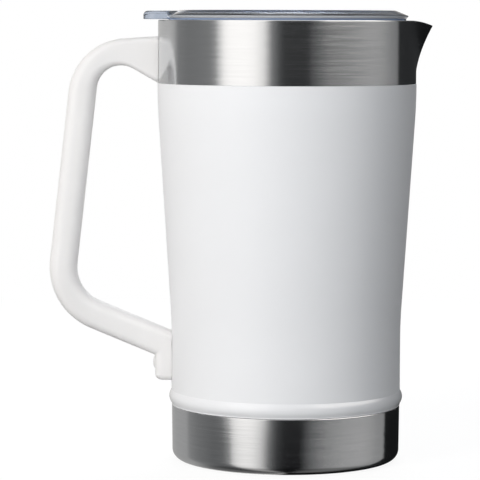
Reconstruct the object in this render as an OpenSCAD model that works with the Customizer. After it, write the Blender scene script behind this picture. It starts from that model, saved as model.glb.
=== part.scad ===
// Insulated jug: double-walled steel vessel with a formed pouring spout,
// a moulded side handle and a clear press-in lid.
// The axis is Z, the table is z = 0, the spout points to +X and the handle to -X.

/* [Vessel] */
// Height of the rim above the table
rim_z = 228.7; // [218:0.1:240]
// Height of the brushed collar
collar_h = 32.5; // [31:0.5:36]
// Outer radius of the brushed collar
collar_r = 66.9; // [65:0.1:69]
// Outer radius of the brushed base band at its top
base_r = 59.5; // [57:0.1:61]
// Height of the brushed base band
base_h = 28.9; // [27:0.1:33]
// Amount by which the base band narrows towards its foot
base_draft = 0.3; // [0:0.1:0.8]
// Corner radius at the foot of the base band
base_corner = 5.5; // [3:0.5:8]
// Width of the flat ring that the jug stands on
stand_ring_w = 7.5; // [5:0.5:12]
// Depth of the recess inside the standing ring
base_recess = 1.6; // [1:0.1:2.5]
// Height at which the straight foot turns into the taper
waist_z = 72; // [64:1:84]
// Length of the straight neck between the taper and the collar
neck_h = 10; // [7:1:16]
// Blend radius at both ends of the taper
blend_r = 300; // [150:10:300]
// Sheet thickness of the outer steel
wall_t = 0.8; // [0.6:0.1:1]
// Step of the coated shell over the bare steel
coat_step = 0.2; // [0.1:0.05:0.4]
// Plain strip of shell below the rolled bead
bead_gap = 0.7; // [0.6:0.1:2]
// Height of the rolled bead
bead_h = 7; // [5:0.2:8]
// Distance by which the bead stands out
bead_out = 1.2; // [0.8:0.1:1.8]
// Power of the bead's bulge, 1 for sharp ends
bead_power = 1.1; // [1:0.1:2]

/* [Spout] */
// Distance by which the spout's tip stands out from the collar
spout_reach = 8.5; // [6:0.1:10]
// Radius of the spout's tip, seen from above
spout_tip_r = 11; // [9:0.5:14]
// Drop of the rim at the spout's tip
spout_dip = 2.6; // [0:0.1:4]
// Length along which the rim drops to the tip
dip_length = 13.2; // [10:0.2:18]
// Share of the collar's height below the spout's curve
spout_start = 0.15; // [0:0.05:0.3]
// Power of the spout's outward curve, 1 for a straight slope
spout_curve = 1.6; // [1.2:0.1:2.2]
// Depth over which the mouth flares out to the rim
flare_h = 9; // [7:0.5:11]

/* [Vacuum] */
// Sheet thickness of the liner
liner_t = 0.6; // [0.4:0.1:0.8]
// Space between the outer wall and the liner
vacuum_gap = 4.4; // [4:0.1:5]
// Inside corner radius at the liner's floor
liner_corner = 12; // [8:1:14]
// Height at which the liner meets its floor cup
liner_joint_z = 30; // [28:1:40]
// Space for the sealed port, between the base and the vacuum floor
port_space = 5.6; // [5:0.1:7]
// Radius of the evacuation port
port_r = 1.5; // [1:0.1:2]
// Depth of the dimple round the port
port_dimple = 1.2; // [0.8:0.1:1.6]
// Radius of the sealing bead under the port
seal_r = 4.8; // [4:0.1:5.5]
// Thickness of the reflector foil
foil_t = 0.15; // [0.1:0.05:0.3]
// Radius of the getter pill
getter_r = 4; // [3:0.1:5]
// Height of the getter pill
getter_h = 2.2; // [1.6:0.1:2.6]
// Distance of the getter from the axis
getter_x = 30; // [20:1:38]
// Thickness of the getter's clip
clip_t = 0.4; // [0.3:0.05:0.6]
// Width of the getter's clip
clip_w = 5; // [4:0.5:6]

/* [Handle] */
// Distance from the rim down to the handle's upper edge
handle_drop = 8.5; // [7.5:0.1:10]
// Height of the handle's end at the collar
handle_end_h = 23.9; // [22:0.1:25]
// Downward tilt of the upper edge, in degrees
handle_tilt = 3.6; // [0:0.1:8]
// Upward flare of the lower edge of the upper arm, in degrees
handle_flare = 29.7; // [26:0.1:34]
// Distance from the collar to the grip's outer face, taken at rim height
grip_reach = 42; // [38:0.1:48]
// Lean of the grip away from the axis, in degrees
grip_lean = 6.4; // [3:0.1:8]
// Thickness of the grip
grip_t = 14; // [12:0.1:16]
// Width of the grip
grip_w = 20; // [17:0.5:24]
// Width of the handle's two ends
end_w = 16.4; // [16:0.1:19]
// Height at which the lower arm's underside meets the foot
arm_z = 54.5; // [52:0.1:58]
// Slope of the lower arm, in degrees
arm_slope = 22.5; // [18:0.1:26]
// Thickness of the lower arm
arm_t = 14.5; // [13:0.1:17]
// Outer and inner radius of the upper bend
upper_bend = [31, 13]; // [10:0.5:36]
// Outer and inner radius of the lower bend
lower_bend = [34.5, 19]; // [10:0.5:36]
// Height of the foot's lower end above the table
foot_z = 41.5; // [40:0.1:43]
// Thickness of the foot that lies on the shell
foot_t = 8.4; // [8:0.1:10]
// Edge radius of the grip
grip_edge = 5.8; // [3:0.1:6.4]
// Edge radius of the lower arm
arm_edge = 4.8; // [3:0.1:5.4]
// Edge radius of the handle's two ends
end_edge = 3.2; // [1.5:0.1:4]

/* [Handle fixing] */
// Thickness of the hook's weld pad
pad_t = 1.4; // [1:0.1:1.6]
// Height and width of the hook's weld pad
pad_size = [16, 12]; // [10:0.5:18]
// Length of the hook's neck, from the collar
hook_neck = 3.2; // [3:0.1:3.6]
// Width of the hook's neck
hook_neck_w = 6; // [4:0.5:7]
// Height, width and thickness of the hook's head
hook_head = [6, 11, 2]; // [2:0.5:12]
// Height of the screw above the foot's lower end
screw_rise = 8.9; // [8.6:0.1:9.1]
// Radius of the screw's shank
shank_r = 2; // [1.5:0.1:2.4]
// Radius of the screw's head
head_r = 3.4; // [3.2:0.1:3.6]
// Height of the screw's head
head_h = 1.5; // [1.2:0.1:1.6]
// Radius of the threaded boss
boss_r = 4; // [3.4:0.1:4.4]
// Length of the threaded boss
boss_h = 4; // [3.4:0.1:4.2]
// Radius of the boss's weld flange
flange_r = 5.4; // [5:0.1:5.8]
// Thickness of the boss's weld flange
flange_t = 1.1; // [0.8:0.1:1.4]
// Wall of the foot between the boss and the screw's head
web_t = 1.6; // [1.2:0.1:1.8]
// Radius of the plug over the screw
plug_cap_r = 3.7; // [3.7:0.05:3.9]
// Height of the plug's dome
plug_dome = 1.3; // [0.8:0.1:1.8]

/* [Lid] */
// Distance from the collar's outer face in to the lid's edge
lid_inset = 4.3; // [3.4:0.1:4.6]
// Height of the lid's edge above the rim
lid_edge_z = 2.4; // [1.6:0.1:2.6]
// Height of the lid's crown above the rim
lid_h = 5.1; // [4.4:0.1:6.4]
// Width of the slope from the lid's edge up to its crown
slope_w = 6.6; // [6:0.1:10]
// Depth of the dish inside the crown
dish = 2; // [1:0.1:2.6]
// Thickness of the lid's deck
deck_t = 2; // [1.6:0.1:2.4]
// Radius under the deck, where it meets the plug's wall
deck_round = 0.8; // [0.4:0.1:1.2]
// Depth of the plug below the rim
plug_h = 12; // [11.5:0.5:16]
// Wall of the plug
plug_t = 3.2; // [2.8:0.1:4]
// Distance below the rim at which the lid sits on the flare
seat_depth = 5; // [4.5:0.1:5.5]
// Height of the gasket's groove
groove_h = 3.4; // [2.6:0.1:3.6]
// Depth of the gasket's groove
groove_depth = 1.6; // [1.2:0.1:1.8]
// Distance by which the thumb tab reaches past the collar
tab_reach = 7.6; // [6:0.1:13]
// Width of the thumb tab
tab_w = 24; // [18:0.5:30]
// Thickness of the thumb tab
tab_t = 4.4; // [3.6:0.1:4.6]
// Radius of the thumb tab's upper edge
tab_edge = 2.4; // [1:0.1:3]
// Corner radius of the thumb tab, seen from above
tab_corner = 7; // [3:0.5:8]
// Radius of the lid's outer edge
lid_round = 0.5; // [0.3:0.1:0.8]
// Radius at the top of the lid's crown
crown_round = 1.2; // [1:0.1:2.2]
// Chamfer at the foot of the plug
plug_chamfer = 0.6; // [0.3:0.1:0.8]

/* [Fits] */
// Gap at the butt joints of the shell
seam = 0.1; // [0.05:0.05:0.2]
// Length of the lapped joints of the shell
lap = 5; // [4:0.5:6]
// Gap inside the lapped joints
lap_gap = 0.15; // [0.1:0.05:0.2]
// Gap between welded faces
weld_gap = 0.05; // [0.02:0.01:0.1]
// Gap between the foil and the liner
foil_gap = 0.3; // [0.2:0.05:0.5]
// Gap between the handle and the vessel
handle_gap = 0.2; // [0.2:0.05:0.4]
// Gap between the handle and the pieces inside it
pocket_gap = 0.2; // [0.1:0.05:0.25]
// Gap between the screw's shank and its bore
thread_gap = 0.05; // [0.02:0.01:0.1]
// Gap between the lid's plug and the mouth
plug_gap = 0.8; // [0.7:0.05:1]
// Gap between the gasket and the mouth
seal_gap = 0.4; // [0.3:0.05:0.5]
// Gap between the gasket and its groove
groove_gap = 0.1; // [0.05:0.05:0.2]
// Gap between the lid's seat and the flare
seat_gap = 0.45; // [0.4:0.05:0.6]

/* [Hidden] */
$fn = 96;

// Heights and radii that follow from the sizes above
collar_z = rim_z - collar_h;
shoulder_z = collar_z - neck_h;
shell_top_r = collar_r + coat_step;
shell_foot_r = base_r + coat_step;
shell_bottom_z = base_h + seam;
bead_z = shell_bottom_z + bead_gap + bead_h / 2;
upper_lap_r = shell_top_r - wall_t - lap_gap;
lower_lap_r = shell_foot_r - wall_t - lap_gap;
vacuum_floor_r = lower_lap_r - wall_t - lap_gap;
vacuum_floor_z = base_recess + wall_t + port_space;
liner_floor_z = vacuum_floor_z + wall_t + vacuum_gap;
bore_depth = wall_t + vacuum_gap + liner_t;
mouth_r = collar_r - bore_depth;
grip_x = collar_r + grip_reach;
lid_edge_r = collar_r - lid_inset;
crown_r = lid_edge_r - slope_w;
tab_x = collar_r + tab_reach;

// Rounded corner b between a and c, as an arc of radius r in n steps
function unit(v) = v / norm(v);
function corner(a, b, c, r, n = 6) =
    let (
        u = unit(a - b),
        v = unit(c - b),
        half = acos(u * v) / 2,
        room = 0.98 * min(norm(a - b), norm(c - b)),
        arc_r = min(r, room * tan(half)),
        middle = b + unit(u + v) * arc_r / sin(half),
        p = b + u * arc_r / tan(half) - middle,
        start = atan2(p.y, p.x),
        turn = (2 * half - 180) * sign(u.x * v.y - u.y * v.x)
    )
    [for (i = [0 : n]) middle + arc_r * [cos(start + turn * i / n), sin(start + turn * i / n)]];

// Point where the line through p at angle a meets the line through q at angle b
function meet(p, a, q, b) =
    let (d = [cos(a), sin(a)], e = [cos(b), sin(b)], w = q - p)
    p + d * (w.x * e.y - w.y * e.x) / (d.x * e.y - d.y * e.x);

function reversed(list) = [for (i = [len(list) - 1 : -1 : 0]) list[i]];
function shifted(list, dx) = [for (p = list) [p.x + dx, p.y]];

// Profile of the tapered wall from height low to height high
function taper(foot_r, top_r, low, high) =
    let (
        a = [foot_r, low],
        b = [foot_r, waist_z],
        c = [top_r, shoulder_z],
        d = [top_r, high]
    )
    concat([a], corner(a, b, c, blend_r), corner(b, c, d, blend_r), [d]);

// Rolled bead near the foot: a bulge of (1 - t^2)^1.5 over its height
bead_steps = 14;
bead = [for (i = [0 : bead_steps])
    let (t = 2 * i / bead_steps - 1)
    [shell_foot_r + bead_out * pow(1 - t * t, bead_power), bead_z + t * bead_h / 2]];

shell_wall = concat(
    [[shell_foot_r, shell_bottom_z]],
    bead,
    taper(shell_foot_r, shell_top_r, bead_z + bead_h / 2 + seam, collar_z - seam)
);

// Sheet of even thickness t inside a profile, turned round the axis
module sheet(profile, t) {
    rotate_extrude() polygon(concat(profile, reversed(shifted(profile, -t))));
}

// Everything inside the vessel's outer face, grown by gap
module vessel_space(gap) {
    outline = concat(shell_wall, [[collar_r, collar_z], [collar_r, rim_z]]);
    rotate_extrude() polygon(concat(
        [[0, shell_bottom_z]], shifted(outline, gap), [[0, rim_z]]));
}

// The spout: each level is the outline round the collar's circle and a tip circle
spout_half = 36;
spout_step = 1.5;
round_step = 4.5;
bearings = concat(
    [for (a = [-spout_half : spout_step : spout_half - spout_step]) a],
    [for (a = [spout_half : round_step : 360 - spout_half - round_step]) a > 180 ? a - 360 : a]
);

function tip_middle(s) =
    let (rise = max((s - spout_start) / (1 - spout_start), 0))
    collar_r - spout_tip_r + spout_reach * pow(rise, spout_curve);

// Radius at bearing a of the outline round a big circle and a tip circle at distance d
function outline_r(a, big, tip, d) =
    let (
        edge = acos(min(1, (big - tip) / d)),
        tip_edge = atan2(tip * sin(edge), d + tip * cos(edge)),
        side = abs(a)
    )
    side >= edge ? big
    : side >= tip_edge ? big / cos(edge - side)
    : d * cos(a) + sqrt(tip * tip - pow(d * sin(a), 2));

function rim_height(a) =
    let (
        x = outline_r(a, collar_r, spout_tip_r, tip_middle(1)) * cos(a),
        along = (x - collar_r - spout_reach) / dip_length + 1
    )
    rim_z - spout_dip * pow(max(along, 0), 2);

// Point at bearing a, share s of the collar's height and depth inside its outer face
function mouth_point(a, s, depth) =
    let (r = outline_r(a, collar_r - depth, spout_tip_r - depth, tip_middle(s)))
    [r * cos(a), r * sin(a), collar_z + s * (rim_height(a) - collar_z)];

// Depth of the mouth ring's outer face, which flares out to the rim
function flare_depth(below) =
    wall_t + weld_gap + (vacuum_gap - weld_gap) * (1 - pow(1 - min(1, below / flare_h), 2));
function mouth_ring_point(a, s, t) =
    mouth_point(a, s, t + flare_depth((1 - s) * (rim_height(a) - collar_z)));

function round_ring(r, z) = [for (a = bearings) [r * cos(a), r * sin(a), z]];

// Closed shell over rings of equal length, joined end to end
module ring_shell(rings) {
    n = len(rings[0]);
    m = len(rings);
    polyhedron(
        points = [for (ring = rings, p = ring) p],
        faces = [for (k = [0 : m - 1], i = [0 : n - 1], half = [0, 1])
            let (
                j = (i + 1) % n,
                low = k * n,
                high = ((k + 1) % m) * n
            )
            half == 0 ? [low + i, high + i, high + j] : [low + i, high + j, low + j]]
    );
}

collar_levels = [for (i = [0 : 9]) i / 9];
flare_share = 1 - flare_h / collar_h;
mouth_levels = concat(
    [for (i = [0 : 3]) flare_share * i / 4],
    [for (i = [0 : 6]) flare_share + (1 - flare_share) * i / 6]
);

module rim_collar() {
    inner = [for (s = reversed(collar_levels)) if (s > 0) [for (a = bearings) mouth_point(a, s, wall_t)]];
    color("silver") ring_shell(concat(
        [round_ring(upper_lap_r, collar_z - lap), round_ring(upper_lap_r, collar_z)],
        [for (s = collar_levels) [for (a = bearings) mouth_point(a, s, 0)]],
        inner,
        [round_ring(collar_r - wall_t, collar_z + wall_t),
         round_ring(upper_lap_r - wall_t, collar_z + wall_t),
         round_ring(upper_lap_r - wall_t, collar_z - lap)]
    ));
}

module body_shell() {
    color("white") sheet(shell_wall, wall_t);
}

module base_cup() {
    foot_r = base_r - base_draft;
    ring_r = foot_r - base_corner - stand_ring_w;
    step_r = ring_r - base_recess;
    outside = concat(
        [[lower_lap_r, base_h + lap], [lower_lap_r, base_h], [base_r, base_h]],
        corner([base_r, base_h], [foot_r, 0], [ring_r, 0], base_corner),
        [[ring_r, 0], [step_r, base_recess], [0, base_recess]]
    );
    inside = concat(
        [[0, base_recess + wall_t], [step_r, base_recess + wall_t], [ring_r, wall_t]],
        corner([ring_r, wall_t], [foot_r - wall_t, wall_t], [base_r - wall_t, base_h],
               base_corner - wall_t),
        [[base_r - wall_t, base_h - wall_t], [lower_lap_r - wall_t, base_h - wall_t],
         [lower_lap_r - wall_t, base_h + lap]]
    );
    color("silver") rotate_extrude() polygon(concat(outside, inside));
}

module mouth_ring() {
    color("gainsboro") ring_shell(concat(
        [for (s = mouth_levels) [for (a = bearings) mouth_ring_point(a, s, 0)]],
        [for (s = reversed(mouth_levels)) [for (a = bearings) mouth_ring_point(a, s, liner_t)]]
    ));
}

module inner_liner() {
    outer = bore_depth - liner_t;
    color("gainsboro")
        sheet(taper(base_r - outer, collar_r - outer, liner_joint_z, collar_z), liner_t);
}

module liner_floor() {
    r = base_r - bore_depth + liner_t;
    outside = corner([r, liner_joint_z], [r, liner_floor_z], [0, liner_floor_z], liner_corner + liner_t);
    inside = corner([0, liner_floor_z + liner_t], [r - liner_t, liner_floor_z + liner_t],
                    [r - liner_t, liner_joint_z], liner_corner);
    color("gainsboro") rotate_extrude() polygon(concat(
        [[r, liner_joint_z]], outside, [[0, liner_floor_z]],
        [[0, liner_floor_z + liner_t]], inside, [[r - liner_t, liner_joint_z]]));
}

module vacuum_floor() {
    r = vacuum_floor_r;
    top = base_h + lap;
    roof = vacuum_floor_z + port_dimple;
    dimple_r = seal_r + lap_gap;
    bend = base_corner;
    under = concat(
        [[r, top]],
        corner([r, top], [r, vacuum_floor_z], [dimple_r + port_dimple, vacuum_floor_z], bend + wall_t),
        [[dimple_r + port_dimple, vacuum_floor_z], [dimple_r, roof], [port_r, roof]]
    );
    over = concat(
        [[port_r, roof + wall_t], [dimple_r, roof + wall_t],
         [dimple_r + port_dimple, vacuum_floor_z + wall_t]],
        corner([dimple_r + port_dimple, vacuum_floor_z + wall_t], [r - wall_t, vacuum_floor_z + wall_t],
               [r - wall_t, top], bend),
        [[r - wall_t, top]]
    );
    color("darkgray") rotate_extrude() polygon(concat(under, over));
}

module seal_bead() {
    roof = vacuum_floor_z + port_dimple - weld_gap;
    stem_r = port_r - weld_gap;
    color("dimgray") rotate_extrude() polygon(concat(
        [[0, roof - 2 * port_dimple]],
        corner([0, roof - 2 * port_dimple], [seal_r, roof - 2 * port_dimple], [seal_r, roof],
               port_dimple),
        [[seal_r, roof], [stem_r, roof], [stem_r, roof + wall_t], [0, roof + wall_t]]));
}

// The clip is a strip with two upturned ends that hold the pill
clip_z = vacuum_floor_z + wall_t + weld_gap;

module getter_pill() {
    color("slategray")
        translate([getter_x, 0, clip_z + clip_t + weld_gap]) cylinder(h = getter_h, r = getter_r);
}

module getter_clip() {
    inside = 2 * (getter_r + lap_gap);
    length = inside + 2 * clip_t;
    rise = clip_t + getter_h / 2;
    color("lightsteelblue") translate([getter_x, 0, clip_z]) difference() {
        translate([-length / 2, -clip_w / 2, 0]) cube([length, clip_w, rise]);
        translate([-inside / 2, -clip_w, clip_t]) cube([inside, 2 * clip_w, rise]);
    }
}

module reflector_foil() {
    inset = bore_depth - liner_t - foil_gap - foil_t;
    color("peru")
        sheet(taper(base_r - inset, collar_r - inset, base_h + 2 * lap, collar_z - 2 * seam), foil_t);
}

// Handle outline in the plane of the axis, with x the distance from the axis
handle_bury = 5;
grip_angle = grip_lean - 90;
foot_x = shell_foot_r + foot_t;
buried_x = shell_foot_r - handle_bury / 2;
top_edge = [collar_r, rim_z - handle_drop];
flare_edge = [collar_r, rim_z - handle_drop - handle_end_h];
grip_outside = [grip_x, rim_z];
grip_inside = [grip_x - grip_t / cos(grip_lean), rim_z];
arm_under = [foot_x, arm_z];
arm_over = [foot_x, arm_z + arm_t / cos(arm_slope)];
inner_x = collar_r - handle_bury;

outer_start = meet(top_edge, -handle_tilt, [inner_x, 0], 90);
outer_upper = meet(top_edge, -handle_tilt, grip_outside, grip_angle);
outer_lower = meet(grip_outside, grip_angle, arm_under, arm_slope);
inner_start = meet(flare_edge, handle_flare, [inner_x, 0], 90);
inner_upper = meet(flare_edge, handle_flare, grip_inside, grip_angle);
inner_lower = meet(grip_inside, grip_angle, arm_over, arm_slope);
inner_end = meet(arm_over, arm_slope, [buried_x, 0], 90);

// Each station is [outer point, inner point, width, edge radius]
upper_steps = 14;
lower_steps = 10;
foot_steps = 4;

function eased(t) = t * t * (3 - 2 * t);
function between(a, b, t) = a + (b - a) * eased(t);

upper_stations =
    let (
        outer = corner(outer_start, outer_upper, outer_lower, upper_bend[0], upper_steps),
        inner = corner(inner_start, inner_upper, inner_lower, upper_bend[1], upper_steps)
    )
    [for (i = [0 : upper_steps])
        let (t = i / upper_steps)
        [outer[i], inner[i], between(end_w, grip_w, t), between(end_edge, grip_edge, t)]];

lower_stations =
    let (
        outer = corner(outer_upper, outer_lower, arm_under, lower_bend[0], lower_steps),
        inner = corner(inner_upper, inner_lower, inner_end, lower_bend[1], lower_steps)
    )
    [for (i = [0 : lower_steps])
        let (t = i / lower_steps)
        [outer[i], inner[i], between(grip_w, end_w, t), between(grip_edge, arm_edge, t)]];

root_stations =
    let (outer = corner(outer_lower, arm_under, [foot_x, foot_z], end_edge / 2, foot_steps))
    [for (i = [0 : foot_steps])
        let (t = i / foot_steps, drop = inner_end.y - outer[foot_steps].y)
        [outer[i], [buried_x, inner_end.y - drop * t], end_w, between(arm_edge, end_edge, t)]];

foot_stations = [for (i = [0 : foot_steps])
    let (
        t = 90 * i / foot_steps,
        inset = end_edge * (1 - cos(t)),
        z = foot_z + end_edge * (1 - sin(t))
    )
    [[foot_x - inset, z], [buried_x, z], end_w - 2 * inset, end_edge]];

stations = concat([[outer_start, inner_start, end_w, end_edge]],
                  upper_stations, lower_stations, root_stations, foot_stations);

// Rounded rectangle across one station, from its outer point to its inner point
edge_steps = 4;
function station_ring(station) =
    let (
        outer = station[0],
        span = station[1] - station[0],
        t = norm(span),
        w = station[2],
        r = station[3],
        along = span / t
    )
    [for (quarter = [0 : 3], i = [0 : edge_steps])
        let (
            a = 90 * (quarter + i / edge_steps),
            depth = (quarter == 0 || quarter == 3 ? t - r : r) + r * cos(a),
            y = (quarter < 2 ? w / 2 - r : r - w / 2) + r * sin(a),
            p = outer + along * depth
        )
        [-p.x, y, p.y]];

// Solid skin over a row of rings, with flat ends
module ring_sweep(rings) {
    n = len(rings[0]);
    m = len(rings);
    polyhedron(
        points = [for (ring = rings, p = ring) p],
        faces = concat(
            [for (k = [0 : m - 2], i = [0 : n - 1], half = [0, 1])
                let (
                    j = (i + 1) % n,
                    low = k * n,
                    high = low + n
                )
                half == 0 ? [low + i, low + j, high + j] : [low + i, high + j, high + i]],
            [reversed([for (i = [0 : n - 1]) i])],
            [[for (i = [0 : n - 1]) (m - 1) * n + i]]
        )
    );
}

// Turns +Z to point away from the axis on the handle's side, at height z
module outward(z) {
    translate([0, 0, z]) rotate([0, -90, 0]) children();
}

// Block on the handle's side from distance x0 to x1, with its height and width, about height z
module side_block(x0, x1, z, height, width) {
    translate([-x1, -width / 2, z - height / 2]) cube([x1 - x0, width, height]);
}

// The hook's head sits in the upper half of its pocket, above the entry that it came in through
hook_z = rim_z - handle_drop - handle_end_h / 2;
hook_head_z = hook_z + (pad_size[0] - hook_head[0]) / 2 - pad_t;
hook_tip_x = collar_r + hook_neck + hook_head[2];
screw_z = foot_z + screw_rise;
boss_x = shell_foot_r + boss_h;
head_seat_x = boss_x + pocket_gap + web_t;
plug_seat_x = head_seat_x + head_h + thread_gap;

module hook_pocket() {
    gap = 2 * pocket_gap;
    width = hook_head[1] + gap;
    entry_low = hook_z - pad_size[0] / 2;
    entry_high = hook_head_z - hook_head[0] / 2;
    slot_high = hook_head_z + hook_head[0] / 2 + pocket_gap;
    chamber = slot_high - entry_low;
    side_block(inner_x, collar_r + pad_t + pocket_gap, hook_z, pad_size[0] + gap, pad_size[1] + gap);
    side_block(inner_x, hook_tip_x, (entry_low + entry_high) / 2, entry_high - entry_low, width);
    side_block(inner_x, hook_tip_x, (entry_low + slot_high) / 2, chamber, hook_neck_w + gap);
    side_block(collar_r + hook_neck - pocket_gap, hook_tip_x + pocket_gap,
               (entry_low + slot_high) / 2, chamber, width);
}

module handle_grip() {
    color("whitesmoke") difference() {
        ring_sweep([for (station = stations) station_ring(station)]);
        vessel_space(handle_gap);
        hook_pocket();
        outward(screw_z) {
            cylinder(h = shell_foot_r + flange_t + pocket_gap, r = flange_r + pocket_gap);
            cylinder(h = boss_x + pocket_gap, r = boss_r + pocket_gap);
            cylinder(h = foot_x, r = shank_r + pocket_gap);
            translate([0, 0, head_seat_x]) cylinder(h = foot_t, r = plug_cap_r + thread_gap);
        }
    }
}

module upper_hook() {
    color("darkgray") difference() {
        union() {
            intersection() {
                cylinder(h = rim_z, r = collar_r + pad_t);
                side_block(inner_x, collar_r + pad_t, hook_z, pad_size[0], pad_size[1]);
            }
            side_block(inner_x, hook_tip_x, hook_head_z, hook_head[0], hook_neck_w);
            side_block(collar_r + hook_neck, hook_tip_x, hook_head_z, hook_head[0], hook_head[1]);
        }
        vessel_space(weld_gap);
    }
}

module lower_boss() {
    color("darkgray") difference() {
        outward(screw_z) union() {
            cylinder(h = shell_foot_r + flange_t, r = flange_r);
            cylinder(h = boss_x, r = boss_r);
        }
        vessel_space(weld_gap);
        outward(screw_z) cylinder(h = foot_x, r = shank_r + thread_gap);
    }
}

module handle_screw() {
    socket_r = shank_r / 2;
    shank_x = shell_foot_r + flange_t;
    color("dimgray") outward(screw_z) difference() {
        union() {
            translate([0, 0, shank_x]) cylinder(h = head_seat_x - shank_x, r = shank_r);
            translate([0, 0, head_seat_x]) cylinder(h = head_h, r = head_r);
        }
        translate([0, 0, head_seat_x + head_h / 3]) cylinder(h = head_h, r = socket_r, $fn = 6);
    }
}

module screw_plug() {
    dome_r = (plug_cap_r * plug_cap_r + plug_dome * plug_dome) / (2 * plug_dome);
    half = asin(plug_cap_r / dome_r);
    steps = 8;
    dome = [for (i = [0 : steps])
        let (a = half * (1 - i / steps))
        [dome_r * sin(a), foot_x + plug_dome - dome_r * (1 - cos(a))]];
    color("whitesmoke") outward(screw_z)
        rotate_extrude() polygon(concat([[0, plug_seat_x], [plug_cap_r, plug_seat_x]], dome));
}

// The lid is drawn about the rim's height
plug_r = mouth_r - plug_gap;
groove_top = -seat_depth - 2 * plug_gap;
groove_bottom = groove_top - groove_h;
groove_r = plug_r - groove_depth;
seat_r = collar_r - liner_t - flare_depth(seat_depth) - seat_gap;
seal_out_r = mouth_r - seal_gap;

function dish_z(r) = lid_h - dish * (1 - pow(r / crown_r, 2));

module lid_cap() {
    skirt_r = plug_r - plug_t;
    steps = 12;
    edge = [lid_edge_r, lid_edge_z];
    edge_under = [lid_edge_r, lid_edge_z - lid_round];
    under = [seat_r, lid_edge_z - lid_round - (lid_edge_r - seat_r)];
    crown = [crown_r, lid_h];
    inside_r = crown_r - deck_t;
    deck_z = lid_h - dish - deck_t;
    profile = concat(
        [[skirt_r, -plug_h], [plug_r - plug_chamfer, -plug_h], [plug_r, plug_chamfer - plug_h],
         [plug_r, groove_bottom], [groove_r, groove_bottom], [groove_r, groove_top],
         [plug_r, groove_top], [plug_r, -seat_depth - plug_gap], [seat_r, -seat_depth], under],
        [edge_under],
        corner(edge_under, edge, crown, lid_round),
        corner(edge, crown, [inside_r, dish_z(inside_r)], crown_round),
        [for (i = [steps - 1 : -1 : 0]) let (r = inside_r * i / steps) [r, dish_z(r)]],
        [[0, deck_z]],
        corner([0, deck_z], [skirt_r, deck_z], [skirt_r, -plug_h], deck_round)
    );
    color("lightsteelblue") translate([0, 0, rim_z]) union() {
        rotate_extrude() polygon(profile);
        thumb_tab();
    }
}

// Tongue over the handle, with a rounded end
module thumb_tab() {
    top = lid_h - deck_t / 5;
    bottom = top - tab_t;
    root = [seat_r, bottom];
    section = concat(
        [[crown_r, top]],
        corner([crown_r, top], [tab_x, top], [tab_x, bottom], tab_edge),
        corner([tab_x, top], [tab_x, bottom], root, deck_t / 4),
        [root, [seat_r - deck_t, bottom]]
    );
    intersection() {
        rotate_extrude() polygon(section);
        translate([0, 0, bottom]) linear_extrude(tab_t) {
            translate([-tab_x + tab_corner, -tab_w / 2]) square([tab_x - tab_corner, tab_w]);
            translate([-tab_x, tab_corner - tab_w / 2]) square([tab_x, tab_w - 2 * tab_corner]);
            for (side = [-1, 1])
                translate([tab_corner - tab_x, side * (tab_w / 2 - tab_corner)]) circle(tab_corner);
        }
    }
}

module lid_gasket() {
    low = groove_bottom + groove_gap;
    high = groove_top - groove_gap;
    lip = (high - low) / 4;
    color("gray") translate([0, 0, rim_z]) rotate_extrude() polygon([
        [groove_r + groove_gap, low], [plug_r, low], [seal_out_r, low + lip],
        [seal_out_r, low + 2 * lip], [plug_r, high], [groove_r + groove_gap, high]]);
}

rim_collar();
body_shell();
base_cup();
mouth_ring();
inner_liner();
liner_floor();
vacuum_floor();
seal_bead();
getter_pill();
getter_clip();
reflector_foil();
handle_grip();
upper_hook();
lower_boss();
handle_screw();
screw_plug();
lid_cap();
lid_gasket();
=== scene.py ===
"""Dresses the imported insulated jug: smooth surfaces, finishes, a plain studio and a camera.

All sizes in the classes are millimetres, and meshes are written in metres. The axis is Z, the
table is z = 0, the spout points to +X and the handle to -X, as in the CAD model.
"""

import logging
import math
from dataclasses import dataclass, field
from enum import Enum
from typing import Sequence

import bmesh
import bpy
import numpy as np
from mathutils import Matrix


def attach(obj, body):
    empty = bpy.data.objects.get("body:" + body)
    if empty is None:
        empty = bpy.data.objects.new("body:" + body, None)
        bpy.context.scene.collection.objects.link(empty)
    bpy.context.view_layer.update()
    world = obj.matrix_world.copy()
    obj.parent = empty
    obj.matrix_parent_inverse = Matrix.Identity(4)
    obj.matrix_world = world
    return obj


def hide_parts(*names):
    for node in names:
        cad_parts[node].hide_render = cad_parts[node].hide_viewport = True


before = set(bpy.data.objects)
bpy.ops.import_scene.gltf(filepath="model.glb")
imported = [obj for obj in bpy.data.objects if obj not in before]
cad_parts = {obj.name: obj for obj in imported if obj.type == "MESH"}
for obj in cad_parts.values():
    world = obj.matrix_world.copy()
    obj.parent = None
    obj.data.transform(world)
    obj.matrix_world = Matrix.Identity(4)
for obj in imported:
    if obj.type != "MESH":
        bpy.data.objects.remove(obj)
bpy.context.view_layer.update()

Array = np.ndarray
Socket = bpy.types.NodeSocket
Color = tuple[float, float, float]
Tint = Socket | Sequence[float]
Span = tuple[float, float]
Stops = tuple[Span, ...]
Ramp = Sequence[tuple[float, Color]]

MM = 0.001
MERGE_M = 2e-6
SHARP_DEG = 34.0
LEG_SHARE = 0.98
X, Y, Z = range(3)
LOG = logging.getLogger("insulated_jug")


class Body(Enum):
    """The two bodies of the CAD model."""

    JUG = "jug"
    LID = "lid"


class Slot(Enum):
    """Material slots, one for each finish."""

    COLLAR = "brushed_collar"
    COAT = "white_coat"
    BASE = "brushed_base"
    LINER = "liner_steel"
    INNER = "inner_steel"
    SEAL = "seal_solder"
    GETTER = "getter"
    FOIL = "foil"
    HANDLE = "handle_plastic"
    LID = "clear_lid"
    GASKET = "gasket"


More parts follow.
